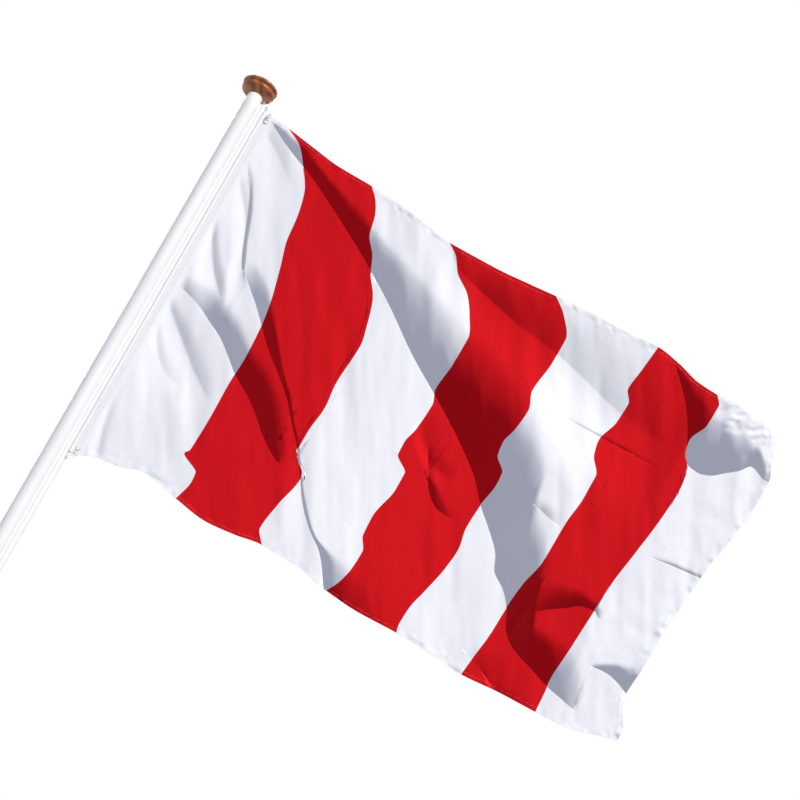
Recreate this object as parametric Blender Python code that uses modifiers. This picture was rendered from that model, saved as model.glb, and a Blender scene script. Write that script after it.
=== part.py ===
"""A striped flag on a round wooden pole with a turned knob, a sheave, a halyard and a cleat.

Frame: metres, +Z up the pole, origin at the centre of the pole's butt end. The flag flies
towards +X and waves along Y.
"""

from math import cos, pi, radians, sin, sqrt

import bmesh
import bpy
from mathutils import Matrix, Vector

# ---- Driving dimensions, in metres --------------------------------------------------------
GAP = 0.0003                # between pieces that rest on each other or fit together
MERGE = 0.00001             # merge distance of every modifier that merges

POLE_LENGTH = 2.0
POLE_RADIUS = 0.018
BUTT_CHAMFER = 0.002

KNOB_BEAD_RADIUS = 0.0400   # lower bead of the knob
KNOB_BEAD_HEIGHT = 0.0144   # its widest place above the pole's top
KNOB_GROOVE_RADIUS = 0.0386
KNOB_GROOVE_HEIGHT = 0.0203
KNOB_CAP_RADIUS = 0.0426    # upper disc of the knob
KNOB_CAP_HEIGHT = 0.0264
KNOB_DOME = 0.0140          # rise of the dome above the disc
DOWEL_RADIUS = 0.0080
DOWEL_IN_POLE = 0.030
DOWEL_IN_KNOB = 0.018

CORD_RADIUS = 0.0015
SHEAVE_PITCH = 0.0055       # from the sheave's axis to the middle of the cord
SHEAVE_FLANGE = 0.0070
SHEAVE_WIDTH = 0.0060
SHEAVE_OUT = 0.0125         # axis beyond the pole's side
SHEAVE_HEIGHT = 0.0120      # axis above the pole's top
SHEAVE_PIN_RADIUS = 0.0015
SHEAVE_PIN_INNER = 0.0125   # blind end of the pin, in front of the sheave
SHEAVE_PIN_OUTER = 0.0240   # driven end of the pin, behind the sheave
SLOT_WIDTH = 0.0076
SLOT_CLEARANCE = 0.0008     # round the sheave's flange

FLAG_HEIGHT = 1.000
FLAG_LENGTH = 1.500         # of the stripes together, without the heading
STRIPES = 7
FLAG_DROP = 0.026           # heading's top edge below the pole's top
CLOTH = 0.0006
HEADING_END = 0.0200        # from the outer leg to the heading's fly side edge
HEADING_THICKNESS = 0.0024
SLEEVE_RADIUS = 0.0042
SLEEVE_BORE = 0.0022
HEM_WIDTH = 0.016

WAVE_HEIGHT = 0.062         # greatest swing of the cloth to either side
WAVE_LENGTH = 0.400         # across the folds
FOLD_SLOPE = radians(38)    # how far the folds fall below the fly direction
FLY_PULL_IN = 0.125         # how much shorter than flat the flag hangs because of its folds
FLY_SAG = 0.055             # how far the top fly corner hangs below the top hoist corner
FLY_RISE = 0.045            # how far the bottom fly corner is drawn up

GROMMET_INSET = 0.0140      # from the outer leg
GROMMET_DROP = 0.018        # from the heading's corner edge
GROMMET_HOLE = 0.0035
GROMMET_WALL = 0.0008
GROMMET_FLANGE = 0.0056

WIRE_RADIUS = 0.0011
RING_RADIUS = 0.0030        # swivel ring round the halyard
RING_WIRE = 0.0009
RING_ABOVE = 0.0080         # ring's plane beyond the heading's edge
HOOK_FRONT = 0.0078         # front leg of the hook, before the cloth
HOOK_BACK = 0.0060
HOOK_TOP = 0.0045           # top of the hook beyond the heading's edge
GATE_PIVOT = 0.0030         # gate's pivot inside the heading's edge
GATE_WIDTH = 0.0022
GATE_THICKNESS = 0.0014
GATE_EYE = 0.0017
GATE_PIN_RADIUS = 0.0006
EAR_THICKNESS = 0.0009
FORK_TOP = 0.0020           # fork's root beyond the heading's edge

STOP_RADIUS = 0.0032        # whipped knot on the halyard
STOP_LENGTH = 0.0080
STOP_GAP = 0.0010           # between a stop and the ring under it

CLEAT_HEIGHT = 0.300        # cleat's middle above the butt
CLEAT_HALF = 0.042
CLEAT_FOOT = 0.020
CLEAT_STEM = 0.013
CLEAT_WIDTH = 0.008
CLEAT_PAD_OUT = 0.0045      # outer face of its foot, from the pole's side
HORN_UNDER_OUT = 0.0160     # the horns' inner faces, from the pole's side
HORN_TOP_OUT = 0.0225       # the horns' outer faces, from the pole's side
SCREW_SPACING = 0.0130
SCREW_RADIUS = 0.0015
SCREW_HEAD_RADIUS = 0.0028
SCREW_HEAD_DEPTH = 0.0020
SCREW_BITE = 0.012          # length inside the wood

# ---- Places that follow from them ---------------------------------------------------------
TOP = POLE_LENGTH
SHEAVE_X = POLE_RADIUS + SHEAVE_OUT
CLEAT_PAD = POLE_RADIUS + CLEAT_PAD_OUT
HORN_UNDER = POLE_RADIUS + HORN_UNDER_OUT
HORN_TOP = POLE_RADIUS + HORN_TOP_OUT
INNER_LEG = SHEAVE_X - SHEAVE_PITCH
OUTER_LEG = SHEAVE_X + SHEAVE_PITCH
FLAG_TOP = TOP - FLAG_DROP
FLAG_BOTTOM = FLAG_TOP - FLAG_HEIGHT
HEADING_X = OUTER_LEG + HEADING_END
GROMMET_X = OUTER_LEG + GROMMET_INSET
SHEAVE_CENTRE = Vector((SHEAVE_X, 0.0, TOP + SHEAVE_HEIGHT))

WHITE = (0.90, 0.90, 0.93)
RED = (0.68, 0.010, 0.018)
LACQUER = (0.86, 0.85, 0.80)
WOOD = (0.28, 0.075, 0.018)
BEECH = (0.62, 0.45, 0.27)
TAPE = (0.86, 0.86, 0.84)
CORD_WHITE = (0.86, 0.86, 0.85)
NICKEL = (0.62, 0.62, 0.64)
BRASS = (0.70, 0.52, 0.24)


# ---- Helpers ------------------------------------------------------------------------------
def clear_scene():
    for old in list(bpy.data.objects):
        bpy.data.objects.remove(old)


def make_collection(name):
    made = bpy.data.collections.new(name)
    bpy.context.scene.collection.children.link(made)
    return made


def make_material(name, colour, roughness, metallic=0.0):
    made = bpy.data.materials.new(name)
    made.use_nodes = True
    shader = made.node_tree.nodes["Principled BSDF"]
    shader.inputs["Base Color"].default_value = (*colour, 1.0)
    shader.inputs["Roughness"].default_value = roughness
    shader.inputs["Metallic"].default_value = metallic
    made.diffuse_color = (*colour, 1.0)
    return made


clear_scene()
parts = make_collection("flag_on_pole")
cutters = make_collection("cutters")


def add_part(name, mesh, material):
    part = bpy.data.objects.new(name, mesh)
    mesh.materials.clear()
    mesh.materials.append(material)
    parts.objects.link(part)
    return part


def add_cutter(name, mesh):
    cutter = bpy.data.objects.new(name, mesh)
    cutter.hide_render = True
    cutter.display_type = "WIRE"
    cutters.objects.link(cutter)
    return cutter


def mesh_from(bm, name):
    mesh = bpy.data.meshes.new(name)
    bm.to_mesh(mesh)
    bm.free()
    return mesh


def smooth(part, sharp_degrees=35.0):
    part.data.shade_smooth()
    part.data.set_sharp_from_angle(angle=radians(sharp_degrees))


def cylinder_mesh(name, radius, start, end, sides=24):
    """A closed cylinder from the point start to the point end."""
    start = Vector(start)
    end = Vector(end)
    along = end - start
    turn = along.to_track_quat("Z", "Y").to_matrix().to_4x4()
    place = Matrix.Translation((start + end) / 2) @ turn
    bm = bmesh.new()
    bmesh.ops.create_cone(bm, cap_ends=True, segments=sides, radius1=radius, radius2=radius,
                          depth=along.length, matrix=place)
    return mesh_from(bm, name)


def box_mesh(name, low, high):
    low = Vector(low)
    high = Vector(high)
    bm = bmesh.new()
    bmesh.ops.create_cube(bm, size=1.0)
    bmesh.ops.scale(bm, vec=high - low, verts=bm.verts)
    bmesh.ops.translate(bm, vec=(low + high) / 2, verts=bm.verts)
    return mesh_from(bm, name)


def boolean(part, other, operation):
    step = part.modifiers.new(operation.lower() + "_" + other.name, "BOOLEAN")
    step.operation = operation
    step.solver = "EXACT"
    step.object = other


def cut(part, name, mesh):
    boolean(part, add_cutter(name, mesh), "DIFFERENCE")


def join(part, name, mesh):
    boolean(part, add_cutter(name, mesh), "UNION")


def turned_part(name, profile, material, steps, closed=False):
    """Turns a profile of (radius, height) points, listed from top to bottom, about Z."""
    bm = bmesh.new()
    verts = [bm.verts.new((radius, 0.0, height)) for radius, height in profile]
    for first, second in zip(verts, verts[1:]):
        bm.edges.new((first, second))
    if closed:
        bm.edges.new((verts[-1], verts[0]))
    part = add_part(name, mesh_from(bm, name), material)
    screw = part.modifiers.new("turn", "SCREW")
    screw.axis = "Z"
    screw.steps = steps
    screw.render_steps = steps
    screw.use_merge_vertices = True
    screw.merge_threshold = MERGE
    screw.use_smooth_shade = True
    return part


def arc(centre, radii, start, end, steps):
    """Points (radius, height) of an ellipse's arc, from start to end in degrees."""
    angles = [radians(start + (end - start) * step / steps) for step in range(steps + 1)]
    return [(centre[0] + radii[0] * cos(angle), centre[1] + radii[1] * sin(angle))
            for angle in angles]


def tube_curve(name, points, radius, sides_level):
    curve = bpy.data.curves.new(name, "CURVE")
    curve.dimensions = "3D"
    curve.bevel_depth = radius
    curve.bevel_resolution = sides_level
    curve.use_fill_caps = True
    spline = curve.splines.new("POLY")
    spline.points.add(len(points) - 1)
    for point, place in zip(spline.points, points):
        point.co = (*place, 1.0)
    return curve


def tube_mesh(name, points, radius, sides_level):
    """The same tube as a welded mesh, for joining to other shapes."""
    guide = add_cutter(name + "_curve", tube_curve(name, points, radius, sides_level))
    bpy.context.view_layer.update()
    evaluated = guide.evaluated_get(bpy.context.evaluated_depsgraph_get())
    mesh = bpy.data.meshes.new_from_object(evaluated)
    mesh.transform(guide.matrix_world)
    bpy.data.objects.remove(guide)
    bm = bmesh.new()
    bm.from_mesh(mesh)
    bmesh.ops.remove_doubles(bm, verts=bm.verts, dist=MERGE)
    return mesh_from(bm, name)


def outline_mesh(name, outlines, half_thickness):
    """A flat plate in the XY plane from closed outlines; the inner ones are holes."""
    curve = bpy.data.curves.new(name, "CURVE")
    curve.dimensions = "2D"
    curve.fill_mode = "BOTH"
    curve.extrude = half_thickness
    for outline in outlines:
        spline = curve.splines.new("POLY")
        spline.points.add(len(outline) - 1)
        spline.use_cyclic_u = True
        for point, (x, y) in zip(spline.points, outline):
            point.co = (x, y, 0.0, 1.0)
    guide = add_cutter(name + "_outline", curve)
    bpy.context.view_layer.update()
    evaluated = guide.evaluated_get(bpy.context.evaluated_depsgraph_get())
    mesh = bpy.data.meshes.new_from_object(evaluated)
    bpy.data.objects.remove(guide)
    bm = bmesh.new()
    bm.from_mesh(mesh)
    bmesh.ops.remove_doubles(bm, verts=bm.verts, dist=MERGE)
    bmesh.ops.recalc_face_normals(bm, faces=bm.faces)
    return mesh_from(bm, name)


def smooth_route(points, step):
    """Points about one step apart on a Catmull-Rom curve through the given points."""
    knots = [Vector(point) for point in points]
    knots = [2 * knots[0] - knots[1]] + knots + [2 * knots[-1] - knots[-2]]
    route = []
    for before, first, second, after in zip(knots, knots[1:], knots[2:], knots[3:]):
        pieces = max(1, round((second - first).length / step))
        for piece in range(pieces):
            t = piece / pieces
            route.append(0.5 * (2 * first + (second - before) * t
                                + (2 * before - 5 * first + 4 * second - after) * t * t
                                + (3 * first - before - 3 * second + after) * t * t * t))
    route.append(knots[-2])
    return route


# ---- Materials ----------------------------------------------------------------------------
lacquer = make_material("pole_lacquer", LACQUER, 0.35)
stained_wood = make_material("stained_wood", WOOD, 0.38)
beech = make_material("beech", BEECH, 0.6)
white_cloth = make_material("white_cloth", WHITE, 0.85)
red_cloth = make_material("red_cloth", RED, 0.85)
tape = make_material("heading_tape", TAPE, 0.9)
cord_fibre = make_material("cord_fibre", CORD_WHITE, 0.8)
nickel = make_material("nickel_plate", NICKEL, 0.3, 1.0)
brass = make_material("brass", BRASS, 0.35, 1.0)
nylon = make_material("white_nylon", CORD_WHITE, 0.45)


# ---- Pole, knob and sheave ----------------------------------------------------------------
def build_pole():
    mesh = cylinder_mesh("pole", POLE_RADIUS, (0, 0, 0), (0, 0, TOP), sides=40)
    pole = add_part("pole", mesh, lacquer)
    chamfer = pole.modifiers.new("butt_chamfer", "BEVEL")
    chamfer.width = BUTT_CHAMFER
    chamfer.segments = 1
    chamfer.limit_method = "WEIGHT"
    weights = mesh.attributes.new("bevel_weight_edge", "FLOAT", "EDGE")
    for edge in mesh.edges:
        at_butt = all(mesh.vertices[index].co.z < BUTT_CHAMFER for index in edge.vertices)
        weights.data[edge.index].value = 1.0 if at_butt else 0.0
    cut(pole, "dowel_hole_in_pole",
        cylinder_mesh("dowel_hole_in_pole", DOWEL_RADIUS + GAP,
                      (0, 0, TOP - DOWEL_IN_POLE - GAP), (0, 0, TOP + 0.01)))
    for index, z in enumerate(screw_heights()):
        cut(pole, f"pilot_hole_{index}",
            cylinder_mesh(f"pilot_hole_{index}", SCREW_RADIUS + GAP,
                          (POLE_RADIUS - SCREW_BITE - GAP, 0, z), (POLE_RADIUS + 0.01, 0, z),
                          sides=12))
    smooth(pole)


def knob_profile():
    """Dome, upper disc, groove, bead and rounded underside, from the top down."""
    cap = KNOB_CAP_HEIGHT
    dome = arc((0.0, cap), (KNOB_CAP_RADIUS, KNOB_DOME), 90, 0, 9)
    groove_round = (KNOB_CAP_HEIGHT - KNOB_GROOVE_HEIGHT) / 2
    lip = arc((KNOB_CAP_RADIUS - groove_round, cap), (groove_round, groove_round * 1.4),
              -30, -90, 2)
    groove = [(KNOB_GROOVE_RADIUS, KNOB_GROOVE_HEIGHT + 0.0006),
              (KNOB_GROOVE_RADIUS, KNOB_GROOVE_HEIGHT - 0.0006)]
    shoulder = arc((KNOB_BEAD_RADIUS - 0.003, KNOB_BEAD_HEIGHT), (0.003, 0.0040), 60, 0, 2)
    seat = POLE_RADIUS + GAP
    under = arc((seat, KNOB_BEAD_HEIGHT), (KNOB_BEAD_RADIUS - seat, KNOB_BEAD_HEIGHT - GAP),
                -12, -90, 6)
    return [(0.0, dome[0][1])] + dome[1:] + lip + groove + shoulder + under + [(0.0, GAP)]


def build_knob():
    knob = turned_part("knob", knob_profile(), stained_wood, 40)
    knob.location = (0, 0, TOP)
    cut(knob, "dowel_hole_in_knob",
        cylinder_mesh("dowel_hole_in_knob", DOWEL_RADIUS + GAP,
                      (0, 0, TOP - 0.01), (0, 0, TOP + DOWEL_IN_KNOB + GAP)))
    reach = SHEAVE_FLANGE + SLOT_CLEARANCE
    cut(knob, "sheave_slot",
        box_mesh("sheave_slot", (SHEAVE_X - reach, -SLOT_WIDTH / 2, TOP - 0.01),
                 (KNOB_CAP_RADIUS + 0.01, SLOT_WIDTH / 2, SHEAVE_CENTRE.z + reach)))
    cut(knob, "sheave_pin_hole",
        cylinder_mesh("sheave_pin_hole", SHEAVE_PIN_RADIUS + GAP,
                      SHEAVE_CENTRE - Vector((0, SHEAVE_PIN_INNER + GAP, 0)),
                      SHEAVE_CENTRE + Vector((0, KNOB_CAP_RADIUS, 0)), sides=16))
    dowel_ends = (0, 0, TOP - DOWEL_IN_POLE), (0, 0, TOP + DOWEL_IN_KNOB)
    dowel = add_part("knob_dowel", cylinder_mesh("knob_dowel", DOWEL_RADIUS, *dowel_ends), beech)
    smooth(dowel)


def build_sheave():
    root = SHEAVE_PITCH - CORD_RADIUS - GAP
    half = SHEAVE_WIDTH / 2
    bore = SHEAVE_PIN_RADIUS + GAP
    groove = arc((SHEAVE_FLANGE, 0.0), (SHEAVE_FLANGE - root, half * 0.72), 90, 270, 8)
    profile = [(bore, half), (SHEAVE_FLANGE, half)] + groove + [(SHEAVE_FLANGE, -half),
                                                                 (bore, -half)]
    sheave = turned_part("sheave", profile, nylon, 32, closed=True)
    sheave.rotation_euler = (pi / 2, 0, 0)
    sheave.location = SHEAVE_CENTRE
    pin = cylinder_mesh("sheave_pin", SHEAVE_PIN_RADIUS,
                        SHEAVE_CENTRE - Vector((0, SHEAVE_PIN_INNER, 0)),
                        SHEAVE_CENTRE + Vector((0, SHEAVE_PIN_OUTER, 0)), sides=16)
    smooth(add_part("sheave_pin", pin, brass))


# ---- Halyard, its stops and its end knot --------------------------------------------------
BELAY_START = [             # from the end knot up to the inner leg, measured from the cleat
    (0.0262, -0.0021, -0.0622), (0.0255, -0.0045, -0.0450), (0.0250, -0.0063, -0.0220),
    (0.0248, -0.0066, 0.0000), (0.0248, -0.0064, 0.0160), (0.0249, -0.0040, 0.0360),
    (INNER_LEG, 0.0000, 0.0640)]
BELAY_END = [               # from the outer leg round the cleat to the end knot
    (OUTER_LEG, 0.0000, 0.0950), (0.0342, 0.0026, 0.0660), (0.0306, 0.0060, 0.0400),
    (0.0286, 0.0070, 0.0180), (0.0284, 0.0070, -0.0040), (0.0286, 0.0052, -0.0150),
    (0.0290, 0.0000, -0.0186), (0.0306, -0.0050, -0.0180), (0.0355, -0.0078, -0.0150),
    (0.0412, -0.0070, -0.0100), (0.0434, -0.0030, -0.0040), (0.0434, 0.0030, 0.0040),
    (0.0412, 0.0070, 0.0100), (0.0362, 0.0082, 0.0155), (0.0322, 0.0056, 0.0200),
    (0.0317, 0.0000, 0.0215), (0.0316, -0.0056, 0.0190), (0.0306, -0.0090, 0.0080),
    (0.0296, -0.0108, -0.0060), (0.0292, -0.0118, -0.0200), (0.0288, -0.0080, -0.0400),
    (0.0270, 0.0021, -0.0622)]
END_KNOT_RADIUS = 0.0052


def on_cleat(points):
    return [(x, y, CLEAT_HEIGHT + z) for x, y, z in points]


def halyard_route():
    bend = 0.0045
    route = smooth_route(on_cleat(BELAY_START), bend)
    turns = 9
    for step in range(turns + 1):
        angle = pi - pi * step / turns
        route.append(SHEAVE_CENTRE + SHEAVE_PITCH * Vector((cos(angle), 0, sin(angle))))
    return route + smooth_route(on_cleat(BELAY_END), bend)


def build_halyard():
    add_part_curve("halyard", tube_curve("halyard", halyard_route(), CORD_RADIUS, 2), cord_fibre)
    bm = bmesh.new()
    bmesh.ops.create_uvsphere(bm, u_segments=14, v_segments=8, radius=END_KNOT_RADIUS)
    knot = add_part("halyard_end_knot", mesh_from(bm, "halyard_end_knot"), cord_fibre)
    ends = (Vector(BELAY_START[0]) + Vector(BELAY_END[-1])) / 2
    drop = END_KNOT_RADIUS + 2 * GAP
    knot.location = (ends.x, ends.y, CLEAT_HEIGHT + ends.z - drop)
    smooth(knot, 60)


def add_part_curve(name, curve, material):
    curve.materials.append(material)
    part = bpy.data.objects.new(name, curve)
    parts.objects.link(part)
    return part


def build_line_stop(name, ring_z, side):
    """A whipped knot beyond a ring of the flag; side is +1 above the flag, -1 below it."""
    near = ring_z + side * (RING_WIRE + STOP_GAP)
    middle = near + side * STOP_LENGTH / 2
    bore = CORD_RADIUS + GAP
    crown = STOP_RADIUS - bore
    half = STOP_LENGTH / 2
    profile = [(bore, half)] + arc((bore, 0.0), (crown, half), 66, -66, 6) + [(bore, -half)]
    stop = turned_part(name, profile, cord_fibre, 20, closed=True)
    stop.location = (OUTER_LEG, 0, middle)


# ---- Flag cloth ---------------------------------------------------------------------------
def cloth_point(length, drop):
    """Where the flat flag's point (length along the fly, drop below the top) hangs."""
    share = length / FLAG_LENGTH
    across = drop * cos(FOLD_SLOPE) - length * sin(FOLD_SLOPE)
    calm = min(1.0, length / 0.35)
    wave = WAVE_HEIGHT * calm * (0.55 + 0.45 * share) * sin(2 * pi * across / WAVE_LENGTH + 0.6)
    down = drop / FLAG_HEIGHT
    x = HEADING_X + GAP + length - FLY_PULL_IN * share ** 2
    z = FLAG_TOP - drop - share ** 2 * (FLY_SAG * (1 - down) - FLY_RISE * down)
    return Vector((x, wave, z))


def build_stripe(name, start, end, material):
    """One upright panel, between two distances along the flat flag."""
    columns = 6
    rows = 22
    bm = bmesh.new()
    bmesh.ops.create_grid(bm, x_segments=columns, y_segments=rows, size=0.5)
    for vert in bm.verts:
        length = start + (vert.co.x + 0.5) * (end - start)
        drop = (0.5 - vert.co.y) * FLAG_HEIGHT
        vert.co = cloth_point(length, drop)
    stripe = add_part(name, mesh_from(bm, name), material)
    thicken = stripe.modifiers.new("cloth", "SOLIDIFY")
    thicken.thickness = CLOTH
    thicken.offset = 0.0
    stripe.data.shade_smooth()


def build_cloth():
    width = FLAG_LENGTH / STRIPES
    hem = FLAG_LENGTH - HEM_WIDTH
    for index in range(STRIPES):
        start = index * width + (GAP if index else 0.0)
        end = min((index + 1) * width, hem - GAP) if index == STRIPES - 1 else (index + 1) * width
        colour, material = ("red", red_cloth) if index % 2 else ("white", white_cloth)
        build_stripe(f"stripe_{index + 1}_{colour}", start, end, material)
    build_stripe("fly_hem", hem, FLAG_LENGTH, white_cloth)


def build_heading():
    """A woven band: a round sleeve for the halyard and a flat tail, with corner holes."""
    half = HEADING_THICKNESS / 2
    meet = sqrt(SLEEVE_RADIUS ** 2 - half ** 2)
    opening = 16.6
    sleeve = arc((OUTER_LEG, 0.0), (SLEEVE_RADIUS, SLEEVE_RADIUS), opening, 360 - opening, 18)
    sleeve[0] = (OUTER_LEG + meet, half)
    sleeve[-1] = (OUTER_LEG + meet, -half)
    outer = sleeve + [(HEADING_X, -half), (HEADING_X, half)]
    bore = arc((OUTER_LEG, 0.0), (SLEEVE_BORE, SLEEVE_BORE), 0, 337.5, 15)
    mesh = outline_mesh("flag_heading", [outer, bore], FLAG_HEIGHT / 2)
    heading = add_part("flag_heading", mesh, tape)
    heading.location = (0, 0, (FLAG_TOP + FLAG_BOTTOM) / 2)
    for place, z in grommet_heights():
        name = f"grommet_hole_{place}"
        cut(heading, name,
            cylinder_mesh(name, GROMMET_HOLE + GROMMET_WALL + GAP,
                          (GROMMET_X, -0.01, z), (GROMMET_X, 0.01, z), sides=20))
    smooth(heading)


def grommet_heights():
    return (("top", FLAG_TOP - GROMMET_DROP), ("bottom", FLAG_BOTTOM + GROMMET_DROP))


def build_grommet(place, z):
    tube = GROMMET_HOLE + GROMMET_WALL
    inner = HEADING_THICKNESS / 2 + GAP
    outer = inner + GROMMET_WALL
    profile = [(GROMMET_HOLE, outer), (GROMMET_FLANGE, outer), (GROMMET_FLANGE, inner),
               (tube, inner), (tube, -inner), (GROMMET_FLANGE, -inner),
               (GROMMET_FLANGE, -outer), (GROMMET_HOLE, -outer)]
    grommet = turned_part("grommet_" + place, profile, nickel, 20, closed=True)
    grommet.rotation_euler = (pi / 2, 0, 0)
    grommet.location = (GROMMET_X, 0, z)


# ---- Snap hooks ---------------------------------------------------------------------------
def hook_wire_route(edge, side):
    """The hook's bent wire in the YZ plane: over the top, down the back, through the hole."""
    bar = edge - side * (GROMMET_DROP - GROMMET_HOLE + WIRE_RADIUS + GAP)
    top = edge + side * HOOK_TOP
    bend = 0.0030
    corners = [(-HOOK_FRONT, bar, 180, 270), (HOOK_BACK, bar, 270, 360),
               (HOOK_BACK, top, 0, 90), (-HOOK_FRONT, top, 90, 180)]
    route = [(GROMMET_X, -HOOK_FRONT, bar + side * GROMMET_HOLE * 1.1)]
    for y, z, start, end in corners:
        centre_y = y - bend if y > 0 else y + bend
        centre_z = z + side * bend if z == bar else z - side * bend
        for dy, dz in arc((0.0, 0.0), (bend, bend), start, end, 4):
            route.append((GROMMET_X, centre_y + dy, centre_z + side * dz))
    route.append((GROMMET_X, -HOOK_FRONT, edge + side * 0.0008))
    return route


def torus_mesh(name, centre, major, minor):
    """A ring of round wire about the vertical line through its centre."""
    bm = bmesh.new()
    place = Matrix.Translation(centre + Vector((major, 0, 0))) @ Matrix.Rotation(pi / 2, 4, "X")
    section = bmesh.ops.create_circle(bm, segments=8, radius=minor, matrix=place)["verts"]
    loop = list(bm.edges)
    bmesh.ops.spin(bm, geom=section + loop, cent=centre, axis=(0, 0, 1), angle=2 * pi, steps=18,
                   use_merge=True)
    bmesh.ops.remove_doubles(bm, verts=bm.verts, dist=MERGE)
    bmesh.ops.recalc_face_normals(bm, faces=bm.faces)
    return mesh_from(bm, name)


def build_snap_hook(place, edge, side):
    """Hook body, gate and gate pin at one corner; side is +1 at the top, -1 at the bottom."""
    name = "snap_hook_" + place
    wire = tube_mesh(name, hook_wire_route(edge, side), WIRE_RADIUS, 1)
    hook = add_part(name, wire, nickel)
    ring_z = edge + side * RING_ABOVE
    ring_centre = Vector((OUTER_LEG, 0, ring_z))
    join(hook, name + "_ring", torus_mesh(name + "_ring", ring_centre, RING_RADIUS, RING_WIRE))
    join(hook, name + "_shank",
         cylinder_mesh(name + "_shank", WIRE_RADIUS * 0.9,
                       (OUTER_LEG + RING_RADIUS + 0.0004, 0, ring_z),
                       (GROMMET_X, 0, edge + side * HOOK_TOP), sides=10))
    pivot_z = edge - side * GATE_PIVOT
    reach = GATE_EYE + 0.0002
    half = GATE_WIDTH / 2 + GAP + EAR_THICKNESS
    fork_ends = sorted((pivot_z - side * reach, edge + side * FORK_TOP))
    join(hook, name + "_fork",
         box_mesh(name + "_fork", (GROMMET_X - half, -HOOK_FRONT - reach, fork_ends[0]),
                  (GROMMET_X + half, -HOOK_FRONT + reach, fork_ends[1])))
    slot = GATE_WIDTH / 2 + GAP
    slot_ends = sorted((pivot_z - side * 0.01, pivot_z + side * (GATE_EYE + GAP)))
    cut(hook, name + "_fork_slot",
        box_mesh(name + "_fork_slot", (GROMMET_X - slot, -HOOK_FRONT - 0.01, slot_ends[0]),
                 (GROMMET_X + slot, -HOOK_FRONT + 0.004, slot_ends[1])))
    pin_reach = half + 0.0002
    cut(hook, name + "_pin_hole",
        cylinder_mesh(name + "_pin_hole", GATE_PIN_RADIUS + GAP,
                      (GROMMET_X - 0.01, -HOOK_FRONT, pivot_z),
                      (GROMMET_X + 0.01, -HOOK_FRONT, pivot_z), sides=12))
    smooth(hook, 40)
    pin = cylinder_mesh("gate_pin_" + place, GATE_PIN_RADIUS,
                        (GROMMET_X - pin_reach, -HOOK_FRONT, pivot_z),
                        (GROMMET_X + pin_reach, -HOOK_FRONT, pivot_z), sides=12)
    smooth(add_part("gate_pin_" + place, pin, nickel))
    build_gate(place, pivot_z, hook_wire_route(edge, side)[0][2], side)


def build_gate(place, pivot_z, catch_z, side):
    """A small sprung bar: an eye round the pin and a blade down to the hook's free end."""
    eye = cylinder_mesh("gate_" + place, GATE_EYE,
                        (GROMMET_X - GATE_WIDTH / 2, -HOOK_FRONT, pivot_z),
                        (GROMMET_X + GATE_WIDTH / 2, -HOOK_FRONT, pivot_z), sides=16)
    gate = add_part("gate_" + place, eye, nickel)
    blade_ends = sorted((pivot_z, catch_z + side * GAP))
    blade_half = GATE_THICKNESS / 2
    join(gate, f"gate_{place}_blade",
         box_mesh(f"gate_{place}_blade",
                  (GROMMET_X - GATE_WIDTH / 2 + 0.0001, -HOOK_FRONT - blade_half, blade_ends[0]),
                  (GROMMET_X + GATE_WIDTH / 2 - 0.0001, -HOOK_FRONT + blade_half, blade_ends[1])))
    cut(gate, f"gate_{place}_eye",
        cylinder_mesh(f"gate_{place}_eye", GATE_PIN_RADIUS + GAP,
                      (GROMMET_X - 0.01, -HOOK_FRONT, pivot_z),
                      (GROMMET_X + 0.01, -HOOK_FRONT, pivot_z), sides=12))


# ---- Cleat --------------------------------------------------------------------------------
def screw_heights():
    return (CLEAT_HEIGHT + SCREW_SPACING / 2, CLEAT_HEIGHT - SCREW_SPACING / 2)


def build_cleat():
    """Two horns on a stem, cut to the pole's round and held by two countersunk screws."""
    side_outline = [(POLE_RADIUS - 0.003, CLEAT_FOOT), (CLEAT_PAD, CLEAT_FOOT),
                    (CLEAT_PAD, CLEAT_STEM), (HORN_UNDER, CLEAT_STEM),
                    (HORN_UNDER + 0.001, CLEAT_HALF), (HORN_TOP - 0.001, CLEAT_HALF),
                    (HORN_TOP, CLEAT_HALF * 0.6)]
    mirrored = [(x, -z) for x, z in reversed(side_outline)]
    mesh = outline_mesh("cleat", [side_outline + mirrored], CLEAT_WIDTH / 2)
    mesh.transform(Matrix.Rotation(pi / 2, 4, "X"))
    cleat = add_part("cleat", mesh, nickel)
    cleat.location = (0, 0, CLEAT_HEIGHT)
    rounding = cleat.modifiers.new("rounded_edges", "BEVEL")
    rounding.width = 0.0008
    rounding.segments = 2
    cut(cleat, "cleat_saddle",
        cylinder_mesh("cleat_saddle", POLE_RADIUS + GAP, (0, 0, CLEAT_HEIGHT - 0.05),
                      (0, 0, CLEAT_HEIGHT + 0.05), sides=40))
    for index, z in enumerate(screw_heights()):
        cut(cleat, f"cleat_hole_{index}",
            cylinder_mesh(f"cleat_hole_{index}", SCREW_RADIUS + GAP, (0, 0, z), (0.06, 0, z), 12))
        cut(cleat, f"cleat_countersink_{index}",
            cylinder_mesh(f"cleat_countersink_{index}", SCREW_HEAD_RADIUS + GAP,
                          (HORN_TOP - SCREW_HEAD_DEPTH - GAP, 0, z), (0.06, 0, z), 16))
    smooth(cleat)


def build_screw(name, z):
    start = POLE_RADIUS - SCREW_BITE
    seat = HORN_TOP - SCREW_HEAD_DEPTH
    shank = cylinder_mesh(name, SCREW_RADIUS, (start, 0, z), (HORN_TOP - 0.0005, 0, z), 12)
    screw = add_part(name, shank, nickel)
    join(screw, name + "_head",
         cylinder_mesh(name + "_head", SCREW_HEAD_RADIUS, (seat, 0, z), (HORN_TOP, 0, z), 16))
    smooth(screw)


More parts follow.
